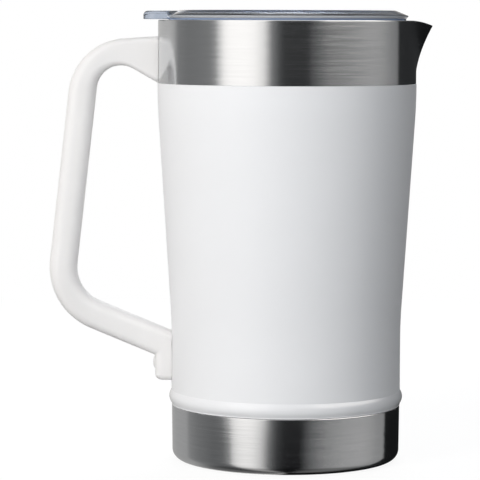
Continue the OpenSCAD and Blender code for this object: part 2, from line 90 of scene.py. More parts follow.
class Pattern(Enum):
    """What a grain is drawn with: a noise, a noise in lines round the axis, or crinkled cells."""

    CLOUD = "cloud"
    LINES = "lines"
    CRINKLE = "crinkle"


def corner(before: Sequence[float], at: Sequence[float], after: Sequence[float],
           radius: float, steps: int) -> Array:
    """Rounds the corner of a path with an arc tangent to both legs.

    The arc's middle lies on the bisector at radius / sin(half angle) from the corner, and the
    radius is limited so that the arc fits in a share of the shorter leg.

    Args:
        before: Point ahead of the corner.
        at: The corner.
        after: Point past the corner.
        radius: Wanted radius.
        steps: Number of steps along the arc.

    Returns:
        Points of the arc, one row each.
    """
    a, b, c = (np.asarray(p, float) for p in (before, at, after))
    legs = np.linalg.norm([a - b, c - b], axis=1)
    u, v = (a - b) / legs[0], (c - b) / legs[1]
    half = math.acos(float(np.clip(u @ v, -1, 1))) / 2
    r = min(radius, LEG_SHARE * legs.min() * math.tan(half))
    middle = b + (u + v) / np.linalg.norm(u + v) * r / math.sin(half)
    first = b + u * r / math.tan(half) - middle
    turn = (2 * half - math.pi) * np.sign(u[0] * v[1] - u[1] * v[0])
    t = math.atan2(first[1], first[0]) + turn * np.linspace(0, 1, steps + 1)
    return middle + r * np.column_stack([np.cos(t), np.sin(t)])


def meet(p: Array, p_deg: float, q: Array, q_deg: float) -> Array:
    """Finds where the line through p at one angle meets the line through q at another.

    Args:
        p: Point on the first line.
        p_deg: Angle of the first line, in degrees.
        q: Point on the second line.
        q_deg: Angle of the second line, in degrees.

    Returns:
        The common point.
    """
    d, e = (np.array([math.cos(a), math.sin(a)]) for a in np.radians([p_deg, q_deg]))
    w = np.asarray(q, float) - p
    return p + d * (w[0] * e[1] - w[1] * e[0]) / (d[0] * e[1] - d[1] * e[0])


def eased(t: Array) -> Array:
    """Gives t^2 (3 - 2 t), which starts and ends level."""
    return t * t * (3 - 2 * t)


def lip(corner_r: float, corner_z: float, inset: float, height: float, steps: int = 8) -> Array:
    """Rounds an outer edge as a quarter ellipse, from the wall to the edge's end face.

    With t from 0 to 90 degrees, r = corner_r - inset (1 - cos t) and
    z = corner_z - height (1 - sin t). A negative height gives a lower edge, from the end face to
    the wall.

    Args:
        corner_r: Radius of the square corner.
        corner_z: Height of the square corner.
        inset: Radial half axis.
        height: Vertical half axis.
        steps: Number of steps.

    Returns:
        Points (r, z).
    """
    t = np.linspace(0, math.pi / 2, steps + 1)
    if height < 0:
        t = t[::-1]
    r, z = corner_r - inset * (1 - np.cos(t)), corner_z - height * (1 - np.sin(t))
    return np.column_stack([r, z])


@dataclass
class Patch:
    """A surface sampled on a grid of rows and columns.

    Attributes:
        points: Array of rows, columns and x, y, z in millimetres.
        wrap_rows: The last row joins the first.
        wrap_columns: The last column joins the first.
        caps: The first and the last row are closed by one flat face each.
    """

    points: Array
    wrap_rows: bool = False
    wrap_columns: bool = True
    caps: bool = False

    def faces(self, start: int) -> list[list[int]]:
        """Lists the grid's four-sided faces.

        Args:
            start: Index of the patch's first vertex in the mesh.

        Returns:
            Vertex indices of each face.
        """
        rows, columns = self.points.shape[:2]
        index = start + np.arange(rows * columns).reshape(rows, columns)
        ends = [index[0].tolist(), index[-1].tolist()] if self.caps else []
        if self.wrap_rows:
            index = np.vstack([index, index[:1]])
        if self.wrap_columns:
            index = np.hstack([index, index[:, :1]])
        quads = np.stack([index[:-1, :-1], index[:-1, 1:], index[1:, 1:], index[1:, :-1]], axis=-1)
        return quads.reshape(-1, 4).tolist() + ends


def turned_points(profile: Array, a: Array) -> Array:
    """Turns a profile round the axis: (r, z) goes to (r cos a, r sin a, z).

    Args:
        profile: Points (r, z).
        a: Bearings.

    Returns:
        Points of rows, bearings and x, y, z.
    """
    r, z = profile[:, :1], profile[:, 1:]
    return np.stack([r * np.cos(a), r * np.sin(a), z + 0 * a], axis=-1)


def revolve(profile: Array, wrap: bool = False, columns: int = 288) -> Patch:
    """Turns a profile into a round surface.

    Args:
        profile: Points (r, z).
        wrap: The profile is a closed loop.
        columns: Number of bearings.

    Returns:
        The surface.
    """
    a = np.linspace(0, 2 * math.pi, columns, endpoint=False)
    return Patch(turned_points(profile, a), wrap_rows=wrap)


def smooth(mesh: bpy.types.Mesh, sharp_deg: float) -> None:
    """Shades a mesh smooth, with edges over an angle in degrees kept sharp."""
    mesh.shade_smooth()
    mesh.set_sharp_from_angle(angle=math.radians(sharp_deg))


def build_object(name: str, patches: Sequence[Patch]) -> bpy.types.Object:
    """Joins patches into one closed mesh object at the origin.

    Args:
        name: Name of the object.
        patches: Surfaces that meet at their edges.

    Returns:
        The new object, linked to the scene.
    """
    starts = np.cumsum([0] + [p.points.shape[0] * p.points.shape[1] for p in patches])
    points = np.concatenate([p.points.reshape(-1, 3) for p in patches]) * MM
    faces = [f for p, start in zip(patches, starts.tolist()) for f in p.faces(start)]
    mesh = bpy.data.meshes.new(name)
    mesh.from_pydata(points.tolist(), [], faces)
    work = bmesh.new()
    work.from_mesh(mesh)
    bmesh.ops.remove_doubles(work, verts=work.verts, dist=MERGE_M)
    bmesh.ops.recalc_face_normals(work, faces=work.faces)
    work.to_mesh(mesh)
    work.free()
    smooth(mesh, SHARP_DEG)
    piece = bpy.data.objects.new(name, mesh)
    bpy.context.scene.collection.objects.link(piece)
    return piece


class Nodes:
    """A node tree, with short calls for the nodes that the finishes and the studio share."""

    def __init__(self, tree: bpy.types.NodeTree) -> None:
        """Takes hold of a tree."""
        self.tree = tree

    def join(self, source: Socket, target: Socket) -> None:
        """Links an output to an input."""
        self.tree.links.new(source, target)

    def fill(self, node: bpy.types.Node, values: dict) -> None:
        """Sets a node's inputs.

        Args:
            node: The node.
            values: Numbers, colours or sockets, by the input's name or index.
        """
        for key, value in values.items():
            if isinstance(value, Socket):
                self.join(value, node.inputs[key])
            else:
                node.inputs[key].default_value = value

    def node(self, kind: str, values: dict | None = None, **settings: object) -> bpy.types.Node:
        """Adds a node.

        Args:
            kind: The node's type, without its ShaderNode prefix.
            values: Values of its inputs, as for fill.
            settings: Other properties of the node.

        Returns:
            The node.
        """
        made = self.tree.nodes.new("ShaderNode" + kind)
        for key, value in settings.items():
            setattr(made, key, value)
        self.fill(made, values or {})
        return made

    def math(self, operation: str, a: Socket | float, b: Socket | float = 0.0) -> Socket:
        """Adds a Math node and gives its result."""
        return self.node("Math", {0: a, 1: b}, operation=operation).outputs[0]

    def vector(self, operation: str, values: dict, result: str = "Vector") -> Socket:
        """Adds a Vector Math node and gives one of its results."""
        return self.node("VectorMath", values, operation=operation).outputs[result]

    def blend(self, share: Socket, first: Tint, last: Tint) -> Socket:
        """Mixes two colours by a share of the last one."""
        return self.node("Mix", {0: share, 6: first, 7: last}, data_type="RGBA").outputs[2]

    def place(self) -> Socket:
        """Gives the Object coordinates, in metres."""
        return self.node("TexCoord").outputs["Object"]

    def parts(self) -> Sequence[Socket]:
        """Gives the three Object coordinates one by one, in metres."""
        return self.node("SeparateXYZ", {0: self.place()}).outputs

    def in_mm(self, value: Socket) -> Socket:
        """Turns metres into millimetres."""
        return self.math("DIVIDE", value, MM)

    def reach(self) -> Socket:
        """Gives the distance from the axis, in metres."""
        flat = self.vector("MULTIPLY", {0: self.place(), 1: (1, 1, 0)})
        return self.vector("LENGTH", {0: flat}, "Value")

    def turned(self, along: float, across: float) -> Socket:
        """Gives coordinates whose noise runs in long lines round the axis.

        The vector is (along x, along y, across (z + distance from the axis)), so the lines follow
        the circles of a wall and of a disc alike.

        Args:
            along: Cells for each metre along the lines.
            across: Cells for each metre across the lines.

        Returns:
            The vector's socket.
        """
        split = self.parts()
        level = self.math("MULTIPLY", self.math("ADD", split[Z], self.reach()), across)
        x, y = (self.math("MULTIPLY", split[i], along) for i in (X, Y))
        return self.node("CombineXYZ", {0: x, 1: y, 2: level}).outputs[0]

    def noise(self, vector: Socket, scale: float, detail: float) -> Socket:
        """Adds a noise and gives its value, around 0.5.

        Args:
            vector: Coordinates.
            scale: Cells for each unit.
            detail: Octaves.

        Returns:
            The value's socket.
        """
        values = {"Vector": vector, "Scale": scale, "Detail": detail}
        return self.node("TexNoise", values).outputs[0]

    def spread(self, value: Socket, low: float, high: float,
               start: float = 0.3, end: float = 0.7) -> Socket:
        """Maps a value from start to end onto low to high.

        Args:
            value: The value.
            low: Result at start.
            high: Result at end.
            start: Lower end of the value.
            end: Upper end of the value.

        Returns:
            The result's socket.
        """
        limits = {0: value, 1: start, 2: end, 3: low, 4: high}
        return self.node("MapRange", limits).outputs[0]

    def ramp(self, value: Socket, stops: Ramp) -> Socket:
        """Lays colours along a value, with straight blends between them.

        Args:
            value: The value.
            stops: Values in rising order, each with its colour.

        Returns:
            The colour's socket.
        """
        first, last = stops[0][0], stops[-1][0]
        made = self.node("ValToRGB", {0: self.spread(value, 0, 1, first, last)})
        marks = made.color_ramp.elements
        for at, _ in stops[1:-1]:
            marks.new((at - first) / (last - first))
        for mark, (at, color) in zip(marks, stops):
            mark.position, mark.color = (at - first) / (last - first), (*color, 1)
        return made.outputs[0]

    def shade(self, value: Socket, color: Color, depth: float) -> Socket:
        """Varies a colour's brightness by a noise, from 1 - depth to 1.

        Args:
            value: The noise.
            color: The brightest colour.
            depth: Share of the brightness that is lost where the noise is low.

        Returns:
            The colour's socket.
        """
        dark = tuple(c * (1 - depth) for c in color)
        return self.blend(self.spread(value, 0, 1), (*dark, 1), (*color, 1))

    def bump(self, height: Socket, strength: float, distance_mm: float) -> Socket:
        """Adds a bump and gives its normal.

        Args:
            height: The height, around 0.5.
            strength: Share of the bump that is used.
            distance_mm: Height of a unit, in millimetres.

        Returns:
            The normal's socket.
        """
        values = {"Height": height, "Strength": strength, "Distance": distance_mm * MM}
        return self.node("Bump", values).outputs[0]

    def seen(self) -> Socket:
        """Gives 1 for camera, glossy and transmission rays, and 0 for the rest.

        Returns:
            The value's socket.
        """
        path = self.node("LightPath").outputs
        both = self.math("MAXIMUM", path["Is Camera Ray"], path["Is Glossy Ray"])
        return self.math("MAXIMUM", both, path["Is Transmission Ray"])


class Shader(Nodes):
    """The node tree of a material with a Principled surface."""

    def __init__(self, name: str) -> None:
        """Makes the material.

        Args:
            name: Name of the material.
        """
        self.material = bpy.data.materials.new(name)
        self.material.use_nodes = True
        super().__init__(self.material.node_tree)
        self.tree.nodes.clear()
        self.surface = self.node("BsdfPrincipled")
        self.output = self.node("OutputMaterial", {"Surface": self.surface.outputs["BSDF"]})

    def put(self, values: dict) -> None:
        """Sets the surface's inputs, as fill does."""
        self.fill(self.surface, values)

    def show(self, surface: Socket) -> None:
        """Shows another surface in the Principled one's place."""
        self.join(surface, self.output.inputs["Surface"])
        self.tree.nodes.remove(self.surface)


@dataclass(frozen=True)
class Grain:
    """A pattern and what it does to a surface.

    Attributes:
        scale: Cells for each metre, across the lines where it has them.
        detail: Octaves.
        shade: Share of the colour's brightness that is lost where the pattern is low.
        rough: Factors of the roughness where the pattern is low and where it is high.
        bump: Strength of the bump, and height of its unit in millimetres.
        pattern: What it is drawn with.
        along: Cells for each metre along the lines.
    """

    scale: float
    detail: float = 2.0
    shade: float = 0.0
    rough: Span | None = None
    bump: Span | None = None
    pattern: Pattern = Pattern.CLOUD
    along: float = 60.0

    def value(self, shader: Shader) -> Socket:
        """Draws the pattern.

        Args:
            shader: The material's node tree.

        Returns:
            The socket of its value.
        """
        if self.pattern is Pattern.CRINKLE:
            values = {"Vector": shader.place(), "Scale": self.scale}
            return shader.node("TexVoronoi", values).outputs[0]
        if self.pattern is Pattern.LINES:
            return shader.noise(shader.turned(self.along, self.scale), 1.0, self.detail)
        return shader.noise(shader.place(), self.scale, self.detail)


@dataclass(frozen=True)
class Finish:
    """A surface with grains in its colour, roughness and height.

    Attributes:
        name: Name of the material.
        slot: Its material slot; not used in this script.
        color: Base colour.
        roughness: Middle of the roughness.
        grains: The grains.
        sockets: Values of other inputs that are the same all over.
    """

    name: str
    slot: Slot
    color: Color
    roughness: float
    grains: tuple[Grain, ...] = ()
    sockets: dict[str, object] = field(default_factory=dict)

    def material(self) -> bpy.types.Material:
        """Gives the material, made on the first call."""
        return bpy.data.materials.get(self.name) or self.make(Shader(self.name))

    def roughened(self, shader: Shader, value: Socket, factors: Span) -> Socket:
        """Spreads the roughness between two factors of its middle, by a pattern."""
        low, high = (self.roughness * factor for factor in factors)
        return shader.spread(value, low, high)

    def make(self, shader: Shader) -> bpy.types.Material:
        """Lays the grains and sets the plain values.

        Args:
            shader: The material's node tree.

        Returns:
            The material.
        """
        for grain in self.grains:
            value = grain.value(shader)
            if grain.shade:
                shader.put({"Base Color": shader.shade(value, self.color, grain.shade)})
            if grain.rough:
                shader.put({"Roughness": self.roughened(shader, value, grain.rough)})
            if grain.bump:
                shader.put({"Normal": shader.bump(value, *grain.bump)})
        shader.put(self.sockets)
        return shader.material


@dataclass(frozen=True)
class BrushedSteel(Finish):
    """Steel brushed round the axis: fine lines in colour, roughness and normal.

    Attributes:
        anisotropic: How far the gloss is drawn out across the lines.
        line_mm: Width of a line.
        depth: Share of brightness lost between the lines.
        streak: Turn of the normal from line to line, in radians.
        line_along: Cells for each metre along the fine and the broad lines.
        line_detail: Octaves of the fine and the broad lines.
        broad: Width of a fine line as a share of a broad one's.
        broad_share: Share of the broad lines in the mixture.
        rough: Factors of the roughness, low and high.
        gloss_turn: Angle from the lines to the drawn-out gloss, in full turns.
    """

    anisotropic: float = 0.9
    line_mm: float = 0.3
    depth: float = 0.12
    streak: float = 0.08
    line_along: Span = (40.0, 20.0)
    line_detail: Span = (3.0, 2.0)
    broad: float = 0.4
    broad_share: float = 0.25
    rough: Span = (0.8, 1.25)
    gloss_turn: float = 0.25

    def make(self, shader: Shader) -> bpy.types.Material:
        """Lays fine lines over broader ones, and stretches the gloss across them.

        Each line's normal is also turned a little along the line, as n + streak (noise - 1/2) t,
        which frays the ends of the reflections.

        Args:
            shader: The material's node tree.

        Returns:
            The material.
        """
        across = 1 / (self.line_mm * MM)
        fine, broad = (
            shader.noise(shader.turned(along, width), 1.0, detail) for along, width, detail
            in zip(self.line_along, (across, self.broad * across), self.line_detail))
        lines = shader.math("ADD", shader.math("MULTIPLY", fine, 1 - self.broad_share),
                            shader.math("MULTIPLY", broad, self.broad_share))
        tangent = shader.node("Tangent", direction_type="RADIAL", axis="Z").outputs[0]
        turn = shader.math("MULTIPLY", shader.math("SUBTRACT", lines, 0.5), self.streak)
        side = shader.vector("SCALE", {0: tangent, 3: turn})
        tilted = shader.vector("ADD", {0: shader.node("NewGeometry").outputs["Normal"], 1: side})
        shader.put({
            "Base Color": shader.shade(lines, self.color, self.depth),
            "Metallic": 1.0,
            "Roughness": self.roughened(shader, lines, self.rough),
            "Anisotropic": self.anisotropic,
            "Anisotropic Rotation": self.gloss_turn,
            "Tangent": tangent,
            "Normal": shader.vector("NORMALIZE", {0: tilted}),
        })
        return shader.material


@dataclass(frozen=True)
class PowderCoat(Finish):
    """White coating with a faint orange peel under a clear gloss.

    Attributes:
        gloss: Weight of the clear top gloss on the taper.
        bead_gloss: Weight of the gloss on the rolled bead, where the coat flows out smooth.
        bead_z: Heights between which the gloss of the bead fades out.
    """

    gloss: float = 0.06
    bead_gloss: float = 0.9
    bead_z: Span = (36.2, 37.0)

    def make(self, shader: Shader) -> bpy.types.Material:
        """Lays the grains, with the gloss by height.

        Args:
            shader: The material's node tree.

        Returns:
            The material.
        """
        z = shader.in_mm(shader.parts()[Z])
        shader.put({"Coat Weight": shader.spread(z, self.bead_gloss, self.gloss, *self.bead_z)})
        return super().make(shader)


@dataclass(frozen=True, kw_only=True)
class ClearPlastic(Finish):
    """Clear moulded plastic with a cool cast through its thickness and painted lines on its edge.

    The painted lines are bands of base colour that stand in for the shade and highlight that
    refraction and reflection give the edge: painted dark blue and grey shade lines and a painted
    pale highlight. They lie by r + slant d, in millimetres with d the depth under the rim, which
    grows along the outside of the lid from its crown to the foot of its plug.

    Attributes:
        painted_lines: Painted shade and highlight along the outside; first the deck's, last the
            tab's.
        haze_and_painted_line_levels: Haze along the outside, high where painted lines show solid.
        edge_r: Radii between which the outside lies.
        rim_z: Height of the rim.
        slant: Weight of the depth.
        beyond: What is added past the outside, on the tab.
        cast: Colour that is left after a long way through the plastic.
        density: Strength of the cast, per metre.
    """

    painted_lines: Ramp
    haze_and_painted_line_levels: Stops
    edge_r: Span = (55.6, 62.9)
    rim_z: float = 228.7
    slant: float = 2.0
    beyond: float = 1000.0
    cast: Color = (0.45, 0.62, 0.92)
    density: float = 14.0

    def along(self, shader: Shader) -> Socket:
        """Finds the place along the outside, which is 0 on the deck.

        Args:
            shader: The material's node tree.

        Returns:
            The socket of the place.
        """
        r, z = shader.in_mm(shader.reach()), shader.in_mm(shader.parts()[Z])
        fall = shader.math("MULTIPLY", shader.math("SUBTRACT", self.rim_z, z), self.slant)
        on_edge, on_tab = (shader.math("GREATER_THAN", r, limit) for limit in self.edge_r)
        outside = shader.math("MULTIPLY", shader.math("ADD", r, fall), on_edge)
        return shader.math("ADD", outside, shader.math("MULTIPLY", on_tab, self.beyond))

    def make(self, shader: Shader) -> bpy.types.Material:
        """Makes a clear body with a cast, painted shade and highlight lines and a little wear.

        Args:
            shader: The material's node tree.

        Returns:
            The material.
        """
        along = self.along(shader)
        # Base colour carries the painted shade and highlight lines; high haze lets them show as
        # solid colour.
        clear = [(at, (1 - haze,) * 3) for at, haze in self.haze_and_painted_line_levels]
        shader.put({
            "Base Color": shader.ramp(along, self.painted_lines),
            "Transmission Weight": shader.ramp(along, clear),
        })
        body = shader.node("VolumeAbsorption", {"Color": (*self.cast, 1), "Density": self.density})
        shader.join(body.outputs[0], shader.output.inputs["Volume"])
        return super().make(shader)


CLEAR = (0.86, 0.90, 0.95)
# Lid colours: CLEAR is the plastic's own; the blue and grey bands and the tab colour are painted
# shade, the pale band a painted highlight.
PAINTED_CROWN_SHADE_BLUE = (0.17, 0.23, 0.37)
PAINTED_SLOPE_SHADE_GREY = (0.22, 0.23, 0.24)
PAINTED_EDGE_HIGHLIGHT = (0.93, 0.94, 0.95)
PAINTED_FOOT_SHADE_BLUE = (0.30, 0.39, 0.56)
PAINTED_TAB_SHADE = (0.53, 0.56, 0.60)
METAL = {"Metallic": 1.0}
SOFT = {"Subsurface Radius": (0.002, 0.002, 0.002), "Subsurface Scale": 1.0}

COLLAR_STEEL = BrushedSteel("collar_brushed_steel", Slot.COLLAR, (0.68, 0.69, 0.70), 0.16,
                            depth=0.08, streak=0.05)
BASE_STEEL = BrushedSteel("base_brushed_steel", Slot.BASE, (0.69, 0.70, 0.71), 0.16)
LINER_STEEL = BrushedSteel("liner_satin_steel", Slot.LINER, (0.68, 0.68, 0.68), 0.3,
                           anisotropic=0.5, depth=0.1)
WHITE_COAT = PowderCoat(
    "white_powder_coat", Slot.COAT, (0.858, 0.859, 0.866), 0.5,
    (Grain(1 / (1.4 * MM), rough=(0.92, 1.08), bump=(0.06, 0.03)), Grain(30.0, 3.0, shade=0.012)),
    {"Specular IOR Level": 0.25, "Coat Roughness": 0.1})
HANDLE_PLASTIC = Finish(
    "handle_satin_plastic", Slot.HANDLE, (0.865, 0.85, 0.838), 0.45,
    (Grain(1 / (0.35 * MM), rough=(0.88, 1.12), bump=(0.12, 0.02)), Grain(22.0, shade=0.02)),
    {"Subsurface Weight": 0.5, **SOFT})
# The lid's painted shade and highlight lines are laid by place along its outside.
CLEAR_LID = ClearPlastic(
    "lid_clear_plastic", Slot.LID, CLEAR, 0.03,
    (Grain(900.0, 3.0, rough=(0.5, 1.6), bump=(0.01, 0.02)),), {"IOR": 1.49},
    painted_lines=((46.0, CLEAR), (47.0, PAINTED_CROWN_SHADE_BLUE), (50.8, PAINTED_CROWN_SHADE_BLUE), (51.8, CLEAR), (53.4, CLEAR),
           (54.6, PAINTED_SLOPE_SHADE_GREY), (58.0, PAINTED_SLOPE_SHADE_GREY), (58.4, PAINTED_EDGE_HIGHLIGHT), (59.5, PAINTED_EDGE_HIGHLIGHT),
           (59.9, PAINTED_FOOT_SHADE_BLUE), (62.0, PAINTED_FOOT_SHADE_BLUE), (64.0, CLEAR), (88.0, CLEAR), (90.0, PAINTED_TAB_SHADE)),
    haze_and_painted_line_levels=((46.0, 0.1), (58.0, 0.1), (58.4, 0.7), (62.0, 0.6), (64.0, 0.03), (90.0, 0.05)))
GASKET_RUBBER = Finish(
    "gasket_silicone", Slot.GASKET, (0.75, 0.77, 0.80), 0.5,
    (Grain(700.0, 3.0, shade=0.05, rough=(0.85, 1.15), bump=(0.1, 0.02)),),
    {"Subsurface Weight": 0.4, **SOFT})
MILL_STEEL = Finish(
    "inner_mill_steel", Slot.INNER, (0.5, 0.5, 0.5), 0.35,
    (Grain(2500.0, bump=(0.15, 0.02), pattern=Pattern.LINES),
     Grain(180.0, 4.0, shade=0.18, rough=(0.8, 1.25))),
    METAL)
COPPER_FOIL = Finish(
    "wrapped_copper_foil", Slot.FOIL, (0.72, 0.45, 0.3), 0.2,
    (Grain(220.0, bump=(0.4, 0.15), pattern=Pattern.CRINKLE),
     Grain(60.0, 3.0, shade=0.15, rough=(0.8, 1.3))),
    METAL)
GETTER_POWDER = Finish(
    "getter_powder", Slot.GETTER, (0.35, 0.36, 0.38), 0.8,
    (Grain(1 / (0.3 * MM), 4.0, shade=0.35, rough=(0.8, 1.2), bump=(0.3, 0.05)),))
SEAL_GLASS = Finish(
    "fused_port_seal", Slot.SEAL, (0.18, 0.18, 0.2), 0.3,
    (Grain(1 / (1.2 * MM), 4.0, shade=0.35, rough=(0.8, 1.2), bump=(0.3, 0.05)),),
    {"Coat Weight": 0.8})


def dress(piece: bpy.types.Object, finish: Finish, body: Body, *nodes: str) -> None:
    """Gives a new piece its finish and body, and lets it stand for CAD nodes.

    Args:
        piece: The piece.
        finish: Its finish.
        body: The body it rides on.
        nodes: CAD nodes that it replaces.
    """
    piece.data.materials.clear()
    piece.data.materials.append(finish.material())
    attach(piece, body.value)
    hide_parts(*nodes)
    LOG.info("%s: %d faces, rides on %s", piece.name, len(piece.data.polygons), body.value)


def add_piece(name: str, patches: Sequence[Patch], finish: Finish, body: Body, *nodes: str) -> None:
    """Builds a piece from its patches and dresses it.

    Args:
        name: Name of the piece.
        patches: Surfaces that meet at their edges.
        finish: Its finish.
        body: The body it rides on.
        nodes: CAD nodes that it replaces.
    """
    dress(build_object(name, patches), finish, body, *nodes)


@dataclass(frozen=True)
class Vessel:
    """Sizes of the steel vessel and the curves that its pieces, handle and lid share."""

    rim_z: float = 228.7
    collar_h: float = 32.5
    collar_r: float = 66.9
    base_r: float = 59.5
    base_h: float = 28.9
    waist_z: float = 72.0
    neck_h: float = 10.0
    blend_r: float = 300.0
    wall_t: float = 0.8
    coat_step: float = 0.2
    bead_gap: float = 0.7
    bead_h: float = 7.0
    bead_out: float = 1.2
    bead_power: float = 1.1
    seam: float = 0.1
    lap: float = 5.0
    lap_gap: float = 0.15
    weld_gap: float = 0.05
    liner_t: float = 0.6
    vacuum_gap: float = 4.4
    spout_reach: float = 8.5
    spout_tip_r: float = 11.0
    spout_dip: float = 2.6
    dip_length: float = 13.2
    spout_start: float = 0.15
    spout_curve: float = 1.6
    flare_h: float = 9.0
    near_deg: float = 36.0
    fine_deg: float = 0.5
    coarse_deg: float = 1.5
    flank_limit: float = 1.4
    arc_steps: int = 36
    bead_rows: int = 49

    @property
    def collar_z(self) -> float:
        """Height of the collar's lower edge."""
        return self.rim_z - self.collar_h

    @property
    def shell_top_r(self) -> float:
        """Outer radius of the coated shell at its top."""
        return self.collar_r + self.coat_step

    @property
    def shell_foot_r(self) -> float:
        """Outer radius of the coated shell at its foot."""
        return self.base_r + self.coat_step

    @property
    def shell_bottom_z(self) -> float:
        """Height of the shell's lower edge."""
        return self.base_h + self.seam

    @property
    def bore_depth(self) -> float:
        """Distance from the vessel's outer face to the liner's inner face."""
        return self.wall_t + self.vacuum_gap + self.liner_t

    def taper(self, foot_r: float, top_r: float, low: float, high: float) -> Array:
        """Profile of a tapered wall: straight foot, slope and straight neck, with blends.

        Args:
            foot_r: Radius of the foot.
            top_r: Radius of the neck.
            low: Height of the lower end.
            high: Height of the upper end.

        Returns:
            Points (r, z) upwards.
        """
        a, b = (foot_r, low), (foot_r, self.waist_z)
        c, d = (top_r, self.collar_z - self.neck_h), (top_r, high)
        return np.vstack([[a], corner(a, b, c, self.blend_r, self.arc_steps),
                          corner(b, c, d, self.blend_r, self.arc_steps), [d]])

    def shell_wall(self) -> Array:
        """Outer profile of the coated shell, upwards.

        The bead is a bulge of (1 - t^2)^power over its height, with t from -1 to 1.

        Returns:
            Points (r, z).
        """
        low = self.shell_bottom_z + self.bead_gap
        t = np.linspace(-1, 1, self.bead_rows)
        bead = np.column_stack([self.shell_foot_r + self.bead_out * (1 - t * t) ** self.bead_power,
                                low + self.bead_h * (t + 1) / 2])
        taper = self.taper(self.shell_foot_r, self.shell_top_r, low + self.bead_h + self.seam,
                           self.collar_z - self.seam)
        return np.vstack([[(self.shell_foot_r, self.shell_bottom_z)], bead, taper])

    def wall_radius(self, z: Array) -> Array:
        """Outer radius of the shell and the collar, read off their profile.

        Args:
            z: Heights.

        Returns:
            The radius at each height.
        """
        collar = [(self.collar_r, self.collar_z), (self.collar_r, self.rim_z)]
        wall = np.vstack([self.shell_wall(), collar])
        return np.interp(z, wall[:, 1], wall[:, 0])

    def bearings(self) -> Array:
        """Bearings round the mouth, closer together at the spout.

        Returns:
            The bearings in radians, within half a turn of the spout.
        """
        near = np.arange(-self.near_deg, self.near_deg, self.fine_deg)
        far = np.arange(self.near_deg, 360 - self.near_deg, self.coarse_deg)
        return np.radians(np.concatenate([near, np.where(far > 180, far - 360, far)]))

    def outline(self, a: Array, big: Array, tip: Array, d: Array) -> Array:
        """Radius of the outline round a big circle and a tip circle at distance d.

        Straight flanks touch both circles. With edge = acos((big - tip) / d), the big circle holds
        beyond edge, the flank big / cos(edge - |a|) down to the tip's own edge, and the tip's
        circle d cos a + sqrt(tip^2 - (d sin a)^2) inside that. The flank's angle is held to a limit
        in radians, which keeps it finite where it is not used.

        Args:
            a: Bearings.
            big: Radius of the big circle.
            tip: Radius of the tip circle.
            d: Distance of the tip circle.

        Returns:
            The radius.
        """
        edge = np.arccos(np.minimum(1, (big - tip) / d))
        tip_edge = np.arctan2(tip * np.sin(edge), d + tip * np.cos(edge))
        side = np.abs(a)
        tip_r = d * np.cos(a) + np.sqrt(np.maximum(tip**2 - (d * np.sin(a)) ** 2, 0))
        flank_r = big / np.cos(np.minimum(edge - side, self.flank_limit))
        return np.where(side >= edge, big, np.where(side >= tip_edge, flank_r, tip_r))

    def tip_middle(self, s: Array) -> Array:
        """Distance of the tip circle at a share s of the collar's height."""
        rise = np.maximum((s - self.spout_start) / (1 - self.spout_start), 0)
        return self.collar_r - self.spout_tip_r + self.spout_reach * rise**self.spout_curve

    def rim_height(self, a: Array) -> Array:
        """Height of the rim, which drops by a square law along the spout.

        Args:
            a: Bearings.

        Returns:
            The height.
        """
        d = self.tip_middle(np.array(1.0))
        x = self.outline(a, self.collar_r, self.spout_tip_r, d) * np.cos(a)
        along = (x - self.collar_r - self.spout_reach) / self.dip_length + 1
        return self.rim_z - self.spout_dip * np.maximum(along, 0) ** 2

    def mouth(self, s: Array, depth: Array) -> Array:
        """Surface of the mouth for rows of height share s and depth inside the outer face.

        Args:
            s: Share of the collar's height, one for each row.
            depth: Depth inside the outer face, one for each row or each point.

        Returns:
            Points of rows, bearings and x, y, z.
        """
        a = self.bearings()[None, :]
        s = s[:, None]
        depth = depth if depth.ndim == 2 else depth[:, None]
        r = self.outline(a, self.collar_r - depth, self.spout_tip_r - depth, self.tip_middle(s))
        z = self.collar_z + s * (self.rim_height(a) - self.collar_z)
        return np.stack([r * np.cos(a), r * np.sin(a), z + 0 * r], axis=-1)

    def flare_depth(self, below: Array) -> Array:
        """Depth of the mouth ring's outer face below the rim, where it flares by a square law."""
        rest = 1 - np.minimum(1, below / self.flare_h)
        return self.wall_t + self.weld_gap + (self.vacuum_gap - self.weld_gap) * (1 - rest**2)

    def flare(self, s: Array) -> Array:
        """Depth of the mouth ring's outer face at a share of the collar's height.

        Args:
            s: Share of the collar's height, one for each row.

        Returns:
            Depth for each row and bearing.
        """
        rim = self.rim_height(self.bearings()[None, :])
        return self.flare_depth((1 - s[:, None]) * (rim - self.collar_z))


